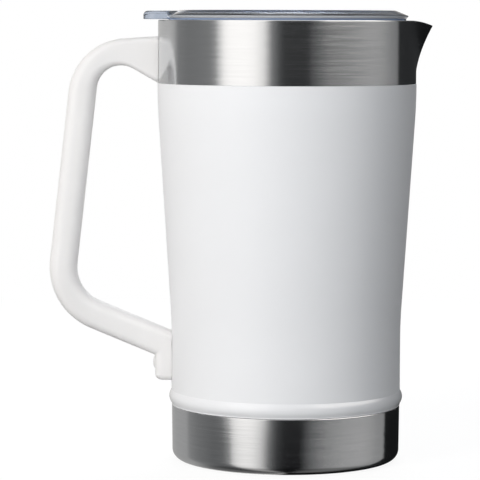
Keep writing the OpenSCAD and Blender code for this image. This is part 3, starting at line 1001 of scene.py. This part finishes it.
@dataclass
class OuterWall:
    """Collar, coated shell and base: the three drawn pieces of the outer wall."""

    vessel: Vessel
    edge_r: float = 0.4
    coat_edge_h: float = 1.1
    base_draft: float = 0.3
    base_corner: float = 5.5
    stand_ring_w: float = 7.5
    base_recess: float = 1.6
    ring_round: float = 1.0
    rows: int = 40
    rim_steps: int = 6
    base_steps: int = 24
    ring_steps: int = 6

    def rim_collar(self) -> None:
        """Carries the mouth's outline up the collar, over a rounded rim and down inside."""
        v = self.vessel
        lap_r = v.shell_top_r - v.wall_t - v.lap_gap
        turn = np.linspace(0, math.pi / 2, self.rim_steps + 1)
        share = self.edge_r / v.collar_h
        up = np.linspace(0, 1 - share, self.rows)[:-1]
        down = np.linspace(1, v.wall_t / v.collar_h, self.rows)
        s = np.concatenate([up, 1 - share * (1 - np.sin(turn)), down])
        depth = np.concatenate([0 * up, self.edge_r * (1 - np.cos(turn)), v.wall_t + 0 * down])
        lap = turned_points(np.array([
            (lap_r - v.wall_t, v.collar_z + v.wall_t), (lap_r - v.wall_t, v.collar_z - v.lap),
            (lap_r, v.collar_z - v.lap), (lap_r, v.collar_z)]), v.bearings())
        wall = v.mouth(s, depth)
        add_piece("collar_with_spout", [Patch(np.concatenate([wall, lap]), wrap_rows=True)],
                  COLLAR_STEEL, Body.JUG, "rim_collar")

    def body_shell(self) -> None:
        """Turns the tapered wall with its bead and two soft coated edges."""
        v = self.vessel
        wall = v.shell_wall()
        top = lip(v.shell_top_r, v.collar_z - v.seam, v.coat_step, self.coat_edge_h)
        foot = lip(v.shell_foot_r, v.shell_bottom_z, v.coat_step, -self.edge_r)
        inside = (wall - [v.wall_t, 0])[::-1]
        add_piece("coated_shell", [revolve(np.vstack([foot, wall[1:-1], top, inside]), wrap=True)],
                  WHITE_COAT, Body.JUG, "body_shell")

    def base_cup(self) -> None:
        """Turns the base band, its standing ring and its recessed disc."""
        v = self.vessel
        t = v.wall_t
        lap_r = v.shell_foot_r - t - v.lap_gap
        foot_r = v.base_r - self.base_draft
        ring_r = foot_r - self.base_corner - self.stand_ring_w
        rise = self.base_recess
        step_r = ring_r - rise
        outside = np.vstack([
            [(lap_r - t, v.base_h + v.lap), (lap_r, v.base_h + v.lap), (lap_r, v.base_h)],
            lip(v.base_r, v.base_h, self.edge_r, self.edge_r)[::-1],
            corner((v.base_r, v.base_h), (foot_r, 0), (ring_r, 0), self.base_corner,
                   self.base_steps),
            corner((foot_r, 0), (ring_r, 0), (step_r, rise), self.ring_round, self.ring_steps),
            corner((ring_r, 0), (step_r, rise), (0, rise), self.ring_round, self.ring_steps),
            [(0, rise)],
        ])
        inside = np.vstack([
            [(0, rise + t), (step_r, rise + t), (ring_r, t)],
            corner((ring_r, t), (foot_r - t, t), (v.base_r - t, v.base_h), self.base_corner - t,
                   self.base_steps // 2),
            [(v.base_r - t, v.base_h - t), (lap_r - t, v.base_h - t)],
        ])
        add_piece("base_band", [revolve(np.vstack([inside, outside]))],
                  BASE_STEEL, Body.JUG, "base_cup")

    def build(self) -> None:
        """Builds the three pieces."""
        self.rim_collar()
        self.body_shell()
        self.base_cup()


@dataclass
class InnerWall:
    """Mouth ring, liner and liner floor: the pieces that hold the drink."""

    vessel: Vessel
    edge_r: float = 0.3
    liner_joint_z: float = 30.0
    liner_floor_z: float = 13.2
    liner_corner: float = 12.0
    rows: int = 40
    rim_steps: int = 5
    corner_steps: int = 20

    def mouth_ring(self) -> None:
        """Carries the flared inner outline up to a rounded rim and back down."""
        v = self.vessel
        s = np.linspace(0, 1, self.rows)
        turn = np.linspace(math.pi / 2, 0, self.rim_steps + 1)
        share = self.edge_r / v.collar_h
        down = np.linspace(1 - share, 0, self.rows)[1:]
        back = np.concatenate([1 - share * (1 - np.sin(turn)), down])
        inset = np.concatenate([self.edge_r * (1 - np.cos(turn)), 0 * down])
        depth = np.concatenate([v.flare(s), v.flare(back) + v.liner_t - inset[:, None]])
        wall = v.mouth(np.concatenate([s, back]), depth)
        add_piece("mouth_inner_ring", [Patch(wall, wrap_rows=True)],
                  LINER_STEEL, Body.JUG, "mouth_ring")

    def inner_liner(self) -> None:
        """Turns the tapered liner."""
        v = self.vessel
        deep = v.bore_depth - v.liner_t
        wall = v.taper(v.base_r - deep, v.collar_r - deep, self.liner_joint_z, v.collar_z)
        loop = np.vstack([wall, (wall - [v.liner_t, 0])[::-1]])
        add_piece("drink_liner", [revolve(loop, wrap=True)], LINER_STEEL, Body.JUG, "inner_liner")

    def liner_floor(self) -> None:
        """Turns the floor cup with its rounded corner."""
        v = self.vessel
        t, joint, low = v.liner_t, self.liner_joint_z, self.liner_floor_z
        r = v.base_r - v.bore_depth + t
        outside = corner((0, low), (r, low), (r, joint), self.liner_corner + t, self.corner_steps)
        inside = corner((r - t, joint), (r - t, low + t), (0, low + t), self.liner_corner,
                        self.corner_steps)
        edge = [(r, joint), (r - t, joint)]
        profile = np.vstack([[(0, low)], outside, edge, inside, [(0, low + t)]])
        add_piece("drink_liner_floor", [revolve(profile)],
                  LINER_STEEL, Body.JUG, "liner_floor")

    def build(self) -> None:
        """Builds the three pieces."""
        self.mouth_ring()
        self.inner_liner()
        self.liner_floor()


@dataclass
class Handle:
    """Moulded handle and the domed plug over its screw; x is the distance from the axis."""

    vessel: Vessel
    drop: float = 8.5
    end_h: float = 23.9
    tilt_deg: float = 3.6
    flare_deg: float = 29.7
    grip_reach: float = 42.0
    lean_deg: float = 6.4
    grip_t: float = 14.0
    grip_w: float = 20.0
    end_w: float = 16.4
    arm_z: float = 54.5
    arm_slope_deg: float = 22.5
    arm_t: float = 14.5
    upper_bend: Span = (31.0, 13.0)
    lower_bend: Span = (34.5, 19.0)
    foot_z: float = 41.5
    foot_t: float = 8.4
    grip_edge: float = 5.8
    arm_edge: float = 4.8
    end_edge: float = 3.2
    bury: float = 5.0
    gap: float = 0.06
    screw_rise: float = 8.9
    plug_r: float = 3.7
    plug_dome: float = 1.3
    plug_depth: float = 1.05
    arc_steps: int = 8
    across_steps: int = 8
    side_steps: int = 4
    upper_steps: int = 44
    lower_steps: int = 36
    root_steps: int = 8
    foot_steps: int = 9
    dome_steps: int = 16
    plug_columns: int = 64
    halvings: int = 40

    @property
    def foot_x(self) -> float:
        """Distance of the foot's outer face."""
        return self.vessel.shell_foot_r + self.foot_t

    def section(self) -> Array:
        """Rounded rectangle as factors of thickness, edge radius, half width and edge radius.

        A point's depth is A t + B r and its y is C w / 2 + D r, for each of its four corner arcs
        and for the straight runs between them.

        Returns:
            One row A, B, C, D for each point round the section.
        """
        a = math.pi / 2 * (np.arange(4)[:, None] + np.linspace(0, 1, self.arc_steps + 1))
        deep = np.array([1, 0, 0, 1])[:, None] + 0 * a
        side = np.array([1, 1, -1, -1])[:, None] + 0 * a
        arcs = np.stack([deep, np.cos(a) + 1 - 2 * deep, side, np.sin(a) - side], axis=-1)
        runs = []
        for quarter, steps in enumerate((self.side_steps, self.across_steps) * 2):
            f = np.linspace(0, 1, steps + 1)[1:-1, None]
            runs += [arcs[quarter], arcs[quarter, -1] * (1 - f) + arcs[(quarter + 1) % 4, 0] * f]
        return np.vstack(runs)

    def stations(self) -> tuple[Array, int]:
        """Lays the handle's stations: outer x, z, inner x, z, width and edge radius.

        Both faces are straight lines at their own angles, joined by arcs; widths and edge radii
        ease from the ends to the grip along the arcs.

        Returns:
            The stations from the collar to the foot, and the index of the first one at the root.
        """
        v = self.vessel
        grip_deg = self.lean_deg - 90
        buried_x = v.shell_foot_r - self.bury / 2
        top = np.array([v.collar_r, v.rim_z - self.drop])
        under = top - [0, self.end_h]
        outside = np.array([v.collar_r + self.grip_reach, v.rim_z])
        inside = outside - [self.grip_t / math.cos(math.radians(self.lean_deg)), 0]
        arm_under = np.array([self.foot_x, self.arm_z])
        arm_over = arm_under + [0, self.arm_t / math.cos(math.radians(self.arm_slope_deg))]
        start = np.array([v.collar_r - self.bury, 0])
        outer = [meet(top, -self.tilt_deg, start, 90), meet(top, -self.tilt_deg, outside, grip_deg),
                 meet(outside, grip_deg, arm_under, self.arm_slope_deg), arm_under]
        inner = [meet(under, self.flare_deg, start, 90),
                 meet(under, self.flare_deg, inside, grip_deg),
                 meet(inside, grip_deg, arm_over, self.arm_slope_deg),
                 meet(arm_over, self.arm_slope_deg, np.array([buried_x, 0]), 90)]
        ends = np.array([self.end_w, self.end_edge])
        arm = np.array([self.end_w, self.arm_edge])
        grip = np.array([self.grip_w, self.grip_edge])

        def bend(k: int, radii: Span, first: Array, last: Array, steps: int) -> Array:
            """Lays stations along a bend, with sizes eased from first to last.

            Args:
                k: Index of the bend's corner.
                radii: Radius of the outer and of the inner face.
                first: Width and edge radius at the start.
                last: Width and edge radius at the end.
                steps: Number of steps.

            Returns:
                The stations.
            """
            t = eased(np.linspace(0, 1, steps + 1))[:, None]
            return np.hstack([corner(*outer[k - 1:k + 2], radii[0], steps),
                              corner(*inner[k - 1:k + 2], radii[1], steps),
                              first + (last - first) * t])

        upper = bend(1, self.upper_bend, ends, grip, self.upper_steps)
        lower = bend(2, self.lower_bend, grip, arm, self.lower_steps)
        root_out = corner(outer[2], arm_under, (self.foot_x, self.foot_z), self.end_edge / 2,
                          self.root_steps)
        f = np.linspace(0, 1, self.root_steps + 1)[:, None]
        root_z = inner[3][1] + (root_out[-1, 1] - inner[3][1]) * f
        root = np.hstack([root_out, buried_x + 0 * f, root_z, arm + (ends - arm) * eased(f)])
        t = np.radians(np.linspace(0, 90, self.foot_steps + 1))[:, None]
        inset = self.end_edge * (1 - np.cos(t))
        z = self.foot_z + self.end_edge * (1 - np.sin(t))
        foot = np.hstack([self.foot_x - inset, z, buried_x + 0 * t, z, self.end_w - 2 * inset,
                          self.end_edge + 0 * t])
        first = np.concatenate([outer[0], inner[0], ends])[None]
        return np.vstack([first, upper, lower, root, foot]), 1 + len(upper) + len(lower)

    def clear_x(self, points: Array) -> Array:
        """Distance in x at which points touch the vessel with the handle's gap."""
        r = self.vessel.wall_radius(points[..., Z]) + self.gap
        return np.sqrt(np.maximum(r**2 - points[..., Y] ** 2, 0))

    def slid(self, points: Array, towards: Array) -> Array:
        """Moves points that lie inside the vessel back along straight lines to its surface.

        The share of the way is halved down to where x equals the touching distance.

        Args:
            points: Points of a ring.
            towards: The same points on the next ring outside.

        Returns:
            The moved points.
        """
        low, high = np.zeros(len(points)), np.ones(len(points))
        for _ in range(self.halvings):
            share = (low + high) / 2
            at = points + (towards - points) * share[:, None]
            inside = -at[:, X] < self.clear_x(at)
            low, high = np.where(inside, share, low), np.where(inside, high, share)
        return points + (towards - points) * high[:, None]

    def grip(self) -> None:
        """Carries the section along the stations, fits both ends to the vessel and closes them."""
        rows, root = self.stations()
        outer, inner, width, edge = rows[:, :2], rows[:, 2:4], rows[:, 4:5], rows[:, 5:6]
        thick = np.linalg.norm(inner - outer, axis=1, keepdims=True)
        k = self.section().T
        depth = k[0] * thick + k[1] * edge
        y = k[2] * width / 2 + k[3] * edge
        plane = outer[:, None] + ((inner - outer) / thick)[:, None] * depth[..., None]
        rings = np.stack([-plane[..., 0], y, plane[..., 1]], axis=-1)
        rings[0] = self.slid(rings[0], rings[1])
        rings[root] = self.slid(rings[root], rings[root - 1])
        rings[root:, :, X] = -np.maximum(-rings[root:, :, X], self.clear_x(rings[root:]))
        caps = [self.closing(rings[0], True), self.closing(rings[-1], False)]
        add_piece("handle_moulding", [Patch(rings), *caps],
                  HANDLE_PLASTIC, Body.JUG, "handle_grip")

    def closing(self, ring: Array, on_wall: bool) -> Patch:
        """Closes a ring by straight rungs between its two mirrored halves.

        Args:
            ring: The ring's points.
            on_wall: The rungs follow the vessel's wall.

        Returns:
            The closing surface.
        """
        half = 2 * (self.arc_steps + 1) + self.side_steps - 1
        skip = half + self.across_steps - 1
        near, far = ring[:half, None], ring[skip:skip + half][::-1, None]
        f = np.linspace(0, 1, self.across_steps + 1)[None, :, None]
        rungs = near * (1 - f) + far * f
        if on_wall:
            rungs[..., X] = -self.clear_x(rungs)
        return Patch(rungs, wrap_columns=False)

    def plug(self) -> None:
        """Turns the domed plug about the screw's axis, which lies along -X.

        A profile (r, h) goes to x = -h with (r cos a, r sin a) round the axis, and the dome is part
        of a ball of radius (r^2 + dome^2) / (2 dome).
        """
        ball = (self.plug_r**2 + self.plug_dome**2) / (2 * self.plug_dome)
        a = math.asin(self.plug_r / ball) * np.linspace(1, 0, self.dome_steps + 1)
        rise = self.plug_dome - ball * (1 - np.cos(a))
        dome = np.column_stack([ball * np.sin(a), self.foot_x + rise])
        low = self.foot_x - self.plug_depth
        profile = np.vstack([[(0, low), (self.plug_r, low)], dome])
        points = revolve(profile, columns=self.plug_columns).points
        z = self.foot_z + self.screw_rise
        turned = np.stack([-points[..., Z], points[..., X], points[..., Y] + z], axis=-1)
        add_piece("handle_screw_plug", [Patch(turned)],
                  HANDLE_PLASTIC, Body.JUG, "screw_plug")

    def build(self) -> None:
        """Builds both pieces."""
        self.grip()
        self.plug()


@dataclass
class Lid:
    """Clear press-in lid with its thumb tab and sealing ring; heights count from the rim."""

    vessel: Vessel
    inset: float = 4.3
    edge_z: float = 2.4
    height: float = 5.1
    slope_w: float = 6.6
    dish: float = 2.0
    deck_t: float = 2.0
    plug_h: float = 12.0
    plug_t: float = 3.2
    seat_depth: float = 5.0
    groove_h: float = 3.4
    groove_depth: float = 1.6
    tab_reach: float = 7.6
    tab_w: float = 24.0
    tab_t: float = 4.4
    tab_edge: float = 2.4
    tab_under_edge: float = 0.5
    tab_corner: float = 7.0
    edge_round: float = 0.5
    crown_round: float = 1.2
    under_round: float = 0.8
    chamfer: float = 0.6
    plug_gap: float = 0.8
    seal_gap: float = 0.4
    groove_gap: float = 0.1
    seat_gap: float = 0.45
    tab_drop: float = 0.4
    seal_round: float = 0.25
    sharp_deg: float = 30.0
    dish_rows: int = 30
    crown_steps: int = 12
    round_steps: int = 8
    seal_steps: int = 4
    tab_runs: tuple[int, int, int, int] = (12, 6, 12, 8)

    @property
    def edge_r(self) -> float:
        """Radius of the lid's edge."""
        return self.vessel.collar_r - self.inset

    @property
    def crown_r(self) -> float:
        """Radius of the crown."""
        return self.edge_r - self.slope_w

    @property
    def plug_r(self) -> float:
        """Radius of the plug."""
        return self.vessel.collar_r - self.vessel.bore_depth - self.plug_gap

    @property
    def seat_r(self) -> float:
        """Radius of the seat on the mouth's flare."""
        v = self.vessel
        return v.collar_r - v.liner_t - v.flare_depth(self.seat_depth) - self.seat_gap

    @property
    def groove(self) -> tuple[float, float, float]:
        """Lower and upper height of the groove, and its radius."""
        top = -self.seat_depth - 2 * self.plug_gap
        return top - self.groove_h, top, self.plug_r - self.groove_depth

    def dish_z(self, r: Array) -> Array:
        """Height of the dished top at radius r."""
        return self.height - self.dish * (1 - (r / self.crown_r) ** 2)

    def profile(self) -> Array:
        """Profile of the round lid from the axis over the top, down the plug and back below.

        Returns:
            Points (r, z).
        """
        inside_r = self.crown_r - self.deck_t
        r = np.linspace(0, inside_r, self.dish_rows)
        top = np.column_stack([r, self.dish_z(r)])
        crown, edge = (self.crown_r, self.height), (self.edge_r, self.edge_z)
        edge_under = (self.edge_r, self.edge_z - self.edge_round)
        skirt_r = self.plug_r - self.plug_t
        low, high, groove_r = self.groove
        under_z = self.height - self.dish - self.deck_t
        return np.vstack([
            top[:-1],
            corner(top[-1], crown, edge, self.crown_round, self.crown_steps),
            corner(crown, edge, edge_under, self.edge_round, self.round_steps),
            [edge_under, (self.seat_r, edge_under[1] - (self.edge_r - self.seat_r)),
             (self.seat_r, -self.seat_depth), (self.plug_r, -self.seat_depth - self.plug_gap),
             (self.plug_r, high), (groove_r, high), (groove_r, low), (self.plug_r, low),
             (self.plug_r, self.chamfer - self.plug_h), (self.plug_r - self.chamfer, -self.plug_h),
             (skirt_r, -self.plug_h)],
            corner((skirt_r, -self.plug_h), (skirt_r, under_z), (0, under_z), self.under_round,
                   self.round_steps),
            [(0, under_z)],
        ])

    def tab(self) -> Patch:
        """Tongue over the handle, as offset outlines stacked with rounded edges.

        A row at inset d has half width w / 2 - d, corner radius less by d, and an end on a circle
        round the axis. The inner end slants back into the lid's own wall. The runs are the steps
        along its inner end, sides, corners and outer end.

        Returns:
            The tab's surface, closed at the top and the bottom.
        """
        tab_x = self.vessel.collar_r + self.tab_reach
        top = self.height - self.tab_drop
        low = top - self.tab_t
        inner_run, side_run, corner_run, end_run = self.tab_runs
        t = np.linspace(0, math.pi / 2, self.round_steps + 1)
        e, u = self.tab_edge, self.tab_under_edge
        d = np.concatenate([u * (1 - np.sin(t[::2])), e * (1 - np.cos(t))])[:, None]
        z = np.concatenate([low + u * (1 - np.cos(t[::2])), top - e * (1 - np.sin(t))])[:, None]
        deep = self.seat_r - self.deck_t
        inner_r = deep + (self.crown_r - deep) * (z - low) / self.tab_t
        half = self.tab_w / 2 - d
        y_in = half * np.linspace(-1, 1, inner_run + 1)[:-1]
        x_side, mid_y = tab_x - self.tab_corner, self.tab_w / 2 - self.tab_corner
        f = np.linspace(0, 1, side_run + 1)[:-1]
        x0 = np.sqrt(inner_r**2 - half**2)
        side_x, side_y = x0 + (x_side - x0) * f, half + 0 * f
        a = np.radians(np.linspace(90, 0, corner_run + 1))
        arc_r = self.tab_corner - d
        arc_x, arc_y = x_side + arc_r * np.cos(a), mid_y + arc_r * np.sin(a)
        end_y = mid_y * np.linspace(1, -1, end_run + 1)[1:-1] + 0 * d
        x = np.hstack([np.sqrt(inner_r**2 - y_in**2), side_x, arc_x, tab_x - d + 0 * end_y,
                       arc_x[:, ::-1], side_x[:, :0:-1]])
        y = np.hstack([y_in, side_y, arc_y, end_y, -arc_y[:, ::-1], -side_y[:, :0:-1]])
        keep = np.minimum(1, (tab_x - d) / np.hypot(x, y))
        points = np.stack([-x * keep, y * keep, z + self.vessel.rim_z + 0 * x], axis=-1)
        return Patch(points, caps=True)

    def cap(self) -> None:
        """Turns the round lid and joins the tab to it as one moulding."""
        round_lid = revolve(self.profile() + [0, self.vessel.rim_z])
        piece = build_object("lid_clear_moulding", [round_lid])
        tab = build_object("lid_tab_form", [self.tab()])
        join = piece.modifiers.new("tab", "BOOLEAN")
        join.operation, join.solver, join.object = "UNION", "EXACT", tab
        graph = bpy.context.evaluated_depsgraph_get()
        plain = piece.data
        piece.data = bpy.data.meshes.new_from_object(piece.evaluated_get(graph))
        piece.modifiers.clear()
        bpy.data.objects.remove(tab)
        bpy.data.meshes.remove(plain)
        smooth(piece.data, self.sharp_deg)
        dress(piece, CLEAR_LID, Body.LID, "lid_cap")

    def gasket(self) -> None:
        """Turns the sealing ring with its rounded lip."""
        v = self.vessel
        low, high, groove_r = self.groove
        low, high = low + self.groove_gap, high - self.groove_gap
        lip_h = (high - low) / 4
        seal_r = v.collar_r - v.bore_depth - self.seal_gap
        back_r = groove_r + self.groove_gap
        path = np.array([(back_r, low), (self.plug_r, low), (seal_r, low + lip_h),
                         (seal_r, low + 2 * lip_h), (self.plug_r, high), (back_r, high)])
        rounds = [corner(before, at, after, self.seal_round, self.seal_steps)
                  for before, at, after in zip(np.roll(path, 1, 0), path, np.roll(path, -1, 0))]
        add_piece("lid_sealing_ring", [revolve(np.vstack(rounds) + [0, v.rim_z], wrap=True)],
                  GASKET_RUBBER, Body.LID, "lid_gasket")

    def build(self) -> None:
        """Builds both pieces."""
        self.cap()
        self.gasket()


@dataclass
class SealedParts:
    """CAD pieces inside the sealed wall and the handle, which keep their shape."""

    finishes: dict[str, Finish] = field(default_factory=lambda: {
        "vacuum_floor": MILL_STEEL,
        "seal_bead": SEAL_GLASS,
        "getter_pill": GETTER_POWDER,
        "getter_clip": MILL_STEEL,
        "reflector_foil": COPPER_FOIL,
        "upper_hook": MILL_STEEL,
        "lower_boss": MILL_STEEL,
        "handle_screw": MILL_STEEL,
    })

    def build(self) -> None:
        """Dresses each CAD node."""
        for name, finish in self.finishes.items():
            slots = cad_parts[name].data.materials
            slots.clear()
            slots.append(finish.material())
            LOG.info("%s: CAD node in %s", name, finish.name)


def hide(thing: bpy.types.Object, *rays: str) -> None:
    """Hides an object from kinds of rays."""
    for kind in rays:
        setattr(thing, "visible_" + kind, False)


@dataclass(frozen=True)
class Lamp:
    """A soft lamp that lights surfaces and is not seen itself, in metres and watts.

    Attributes:
        name: Name of the lamp.
        watts: Power.
        bearing_deg: Bearing from -Y towards +X, in degrees.
        far: Distance from the axis.
        height: Height of its middle.
        size: Width and height.
        color: Colour of its light.
        aim_z: Height on the axis that it is aimed at.
    """

    name: str
    watts: float
    bearing_deg: float
    far: float
    height: float
    size: Span
    color: Color
    aim_z: float = 0.12

    def hang(self) -> None:
        """Hangs the lamp, turned towards the axis and hidden from all but diffuse rays."""
        data = bpy.data.lights.new(self.name, "AREA")
        data.energy, data.color, data.shape = self.watts, self.color, "RECTANGLE"
        data.size, data.size_y = self.size
        lamp = bpy.data.objects.new(self.name, data)
        turn = math.radians(self.bearing_deg)
        lamp.location = (self.far * math.sin(turn), -self.far * math.cos(turn), self.height)
        tip = math.atan2(self.height - self.aim_z, self.far)
        lamp.rotation_euler = (math.pi / 2 - tip, 0, turn)
        hide(lamp, "camera", "glossy", "transmission")
        bpy.context.scene.collection.objects.link(lamp)


WARM = (1.0, 0.983, 0.962)
COOL = (0.96, 0.995, 1.04)
LAMPS = (
    Lamp("key_lamp", 15.8, -41.0, 1.6, 0.65, (0.5, 1.6), WARM),
    Lamp("front_lamp", 17.8, 2.0, 1.6, 0.65, (2.4, 1.6), COOL),
    Lamp("fill_lamp", 20.8, -108.0, 1.5, 0.4, (3.2, 2.4), WARM),
    Lamp("back_lamp", 30.0, 168.0, 1.6, 0.9, (1.3, 1.6), COOL),
)


def warmed(level: float, middle: float = 0.3, power: float = 0.018) -> Color:
    """Gives a panel's light: level (w, 1, 1 / w) with w = (level / middle)^power.

    Panels brighter than the middle are warm, and darker ones are cool.

    Args:
        level: The panel's level.
        middle: The level that is neutral.
        power: Strength of the change in hue.

    Returns:
        The panel's red, green and blue.
    """
    w = (level / middle) ** power
    return level * w, level, level / w


@dataclass
class Studio:
    """Pale floor, soft lamps, reflection wall and the photograph's camera, in metres.

    Attributes:
        ambient: Level of the world for rays that only light.
        floor_bounce: Grey of the floor for rays that only light.
        floor_share: Share of lamp light in the look of the floor near the object.
        floor_level: Level of that light where nothing shades it.
        floor_near: Distances between which that share fades out.
        floor_reach: Radii of the first and the last ring of the floor.
        floor_z: Height of the floor, just under the object.
        floor_rings: Number of rings.
        columns: Number of bearings of the floor and the wall.
        wall_r: Radius of the wall.
        wall_low: Height of its foot, which is closed.
        wall_high: Height of its top.
        wall_turn_z: Heights between which the lower panels turn into the upper ones.
        upper_stops: Bearings in degrees and levels of the upper panels.
        lower_stops: Bearings in degrees and levels of the lower panels.
        high_z: Heights between which the upper panels turn into the highest ones.
        high_stops: Bearings in degrees and levels of the highest panels.
        foot_level: Level of the wall at its foot, as a share.
        foot_z: Heights between which the foot's level turns into the full one.
        camera_at: Place of the camera.
        camera_pitch_deg: Pitch downwards.
        camera_roll_deg: Roll about the line of sight.
        camera_lens: Focal length in millimetres.
        camera_sensor: Width of the sensor in millimetres.
        camera_reach: Farthest distance that is seen.
    """

    ambient: float = 0.02
    floor_bounce: float = 0.4
    floor_share: float = 0.12
    floor_level: float = 0.8
    floor_near: Span = (0.2, 0.8)
    floor_reach: Span = (0.05, 9.0)
    floor_z: float = -0.0001
    floor_rings: int = 24
    columns: int = 96
    wall_r: float = 1.9
    wall_low: float = -2.4
    wall_high: float = 2.2
    wall_turn_z: Span = (-0.10, 0.0)
    upper_stops: Stops = (
        (-180, 1.0), (-172, 1.0), (-168, 0.57), (-128, 0.57), (-120, 0.50), (-112, 0.26),
        (-98, 0.22), (-88, 0.23), (-76, 0.26), (-71, 0.29), (-66, 0.42), (-62, 0.88), (-57, 1.37),
        (-52, 1.48), (-37, 1.48), (-29, 1.42), (-21, 1.12), (-14, 0.26), (-7, 0.08), (-3, 0.04),
        (17.5, 0.034), (20.5, 0.09), (36, 0.155), (52, 0.232), (78, 0.366), (88, 0.357),
        (109, 0.25), (112, 0.25), (114.5, 0.029), (168, 0.029), (180, 1.0),
    )
    lower_stops: Stops = (
        (-180, 1.0), (-172, 1.0), (-168, 0.42), (-135, 0.42), (-119, 0.42), (-113, 0.30),
        (-100, 0.23), (-89, 0.19), (-78, 0.15), (-66, 0.15), (-59, 0.25), (-54, 0.82), (-48, 1.05),
        (-41, 1.12), (-34, 1.05), (-26, 0.74), (-18, 0.17), (-10, 0.04), (0, 0.013), (13, 0.012),
        (18, 0.07), (25, 0.163), (42, 0.323), (60, 0.425), (80, 0.464), (91, 0.43), (103, 0.36),
        (115.2, 0.34), (117.2, 0.01), (180, 0.01),
    )
    high_z: Span = (0.65, 0.85)
    high_stops: Stops = (
        (-180, 0.3), (-72, 0.3), (-62, 1.9), (-20, 1.9), (-12, 0.5), (24, 0.5), (38, 4.0),
        (100, 4.0), (115, 0.3), (180, 0.3),
    )
    foot_level: float = 0.38
    foot_z: Span = (-2.2, -1.3)
    camera_at: tuple[float, float, float] = (-0.0241, -1.370, 0.2283)
    camera_pitch_deg: float = 4.752
    camera_roll_deg: float = 0.18
    camera_lens: float = 197.775
    camera_sensor: float = 36.0
    camera_reach: float = 50.0

    def world(self) -> None:
        """Sets a white world for seen rays, and a dim one for the rays that light."""
        made = bpy.data.worlds.new("studio_world")
        bpy.context.scene.world = made
        made.use_nodes = True
        nodes = Nodes(made.node_tree)
        level = nodes.spread(nodes.seen(), self.ambient, 1.0, 0.0, 1.0)
        nodes.fill(made.node_tree.nodes["Background"], {"Color": (1, 1, 1, 1), "Strength": level})

    def put_up(self, name: str, profile: Array, shader: Shader,
               surface: Socket) -> bpy.types.Object:
        """Turns a stage piece that shows a surface of its own.

        Args:
            name: Name of the piece.
            profile: Points (r, z) in metres.
            shader: Its material.
            surface: What the material shows.

        Returns:
            The piece.
        """
        piece = build_object(name, [revolve(profile / MM, columns=self.columns)])
        shader.show(surface)
        piece.data.materials.append(shader.material)
        return piece

    def floor(self) -> None:
        """Lays a round floor that is white where it is seen and keeps a soft shadow.

        Near the object a share of its light is reflected lamp light, and the rest is its own.
        """
        shader = Shader("studio_floor")
        near = shader.spread(shader.reach(), self.floor_share, 0.0, *self.floor_near)
        glow = shader.math("SUBTRACT", 1.0, shader.math("MULTIPLY", near, self.floor_level))
        lit = shader.node("BsdfDiffuse", {"Color": near}).outputs[0]
        own = shader.node("Emission", {"Color": glow}).outputs[0]
        both = shader.node("AddShader", {0: lit, 1: own}).outputs[0]
        plain = shader.node("BsdfDiffuse", {"Color": (*[self.floor_bounce] * 3, 1)}).outputs[0]
        mix = shader.node("MixShader", {0: shader.seen(), 1: plain, 2: both}).outputs[0]
        r = np.concatenate([[0], np.geomspace(*self.floor_reach, self.floor_rings)])
        profile = np.column_stack([r, self.floor_z + 0 * r])
        piece = self.put_up("studio_floor", profile, shader, mix)
        hide(piece, "glossy")

    def wall(self) -> None:
        """Stands a round wall of light and dark panels that only reflections see.

        The panels' light is a ramp over the bearing atan2(x, -y). It turns from the lower ramp to
        the upper one and then to the highest one with the height, and is dimmer at the foot.
        """
        shader = Shader("studio_wall")
        x, y, z = shader.parts()
        bearing = shader.math("ARCTAN2", x, shader.math("MULTIPLY", y, -1.0))
        light, upper, high = (
            shader.ramp(bearing, [(math.radians(deg), warmed(level)) for deg, level in stops])
            for stops in (self.lower_stops, self.upper_stops, self.high_stops))
        for heights, above in ((self.wall_turn_z, upper), (self.high_z, high)):
            light = shader.blend(shader.spread(z, 0.0, 1.0, *heights), light, above)
        fade = shader.spread(z, self.foot_level, 1.0, *self.foot_z)
        own = shader.node("Emission", {"Color": light, "Strength": fade}).outputs[0]
        profile = np.array([(0.0, self.wall_low), (self.wall_r, self.wall_low),
                            (self.wall_r, 0.0), (self.wall_r, self.wall_high)])
        piece = self.put_up("studio_wall", profile, shader, own)
        hide(piece, "camera", "diffuse", "transmission", "volume_scatter", "shadow")

    def camera(self) -> None:
        """Sets the camera: level along +Y, pitched down, then rolled about its line of sight."""
        data = bpy.data.cameras.new("photo_camera")
        data.lens, data.sensor_width = self.camera_lens, self.camera_sensor
        data.clip_end = self.camera_reach
        camera = bpy.data.objects.new("photo_camera", data)
        camera.location = self.camera_at
        pitch = Matrix.Rotation(math.radians(90 - self.camera_pitch_deg), 3, "X")
        roll = Matrix.Rotation(math.radians(self.camera_roll_deg), 3, "Z")
        camera.rotation_euler = (pitch @ roll).to_euler()
        bpy.context.scene.collection.objects.link(camera)
        bpy.context.scene.camera = camera

    def build(self) -> None:
        """Builds the studio."""
        bpy.context.scene.view_settings.view_transform = "Standard"
        self.world()
        self.floor()
        self.wall()
        for lamp in LAMPS:
            lamp.hang()
        self.camera()


def main() -> None:
    """Builds the classes in order."""
    logging.basicConfig(level=logging.INFO, format="%(message)s")
    vessel = Vessel()
    for assembly in (OuterWall(vessel), InnerWall(vessel), Handle(vessel), Lid(vessel),
                     SealedParts(), Studio()):
        LOG.info("building %s", type(assembly).__name__)
        assembly.build()


if __name__ == "__main__":
    main()
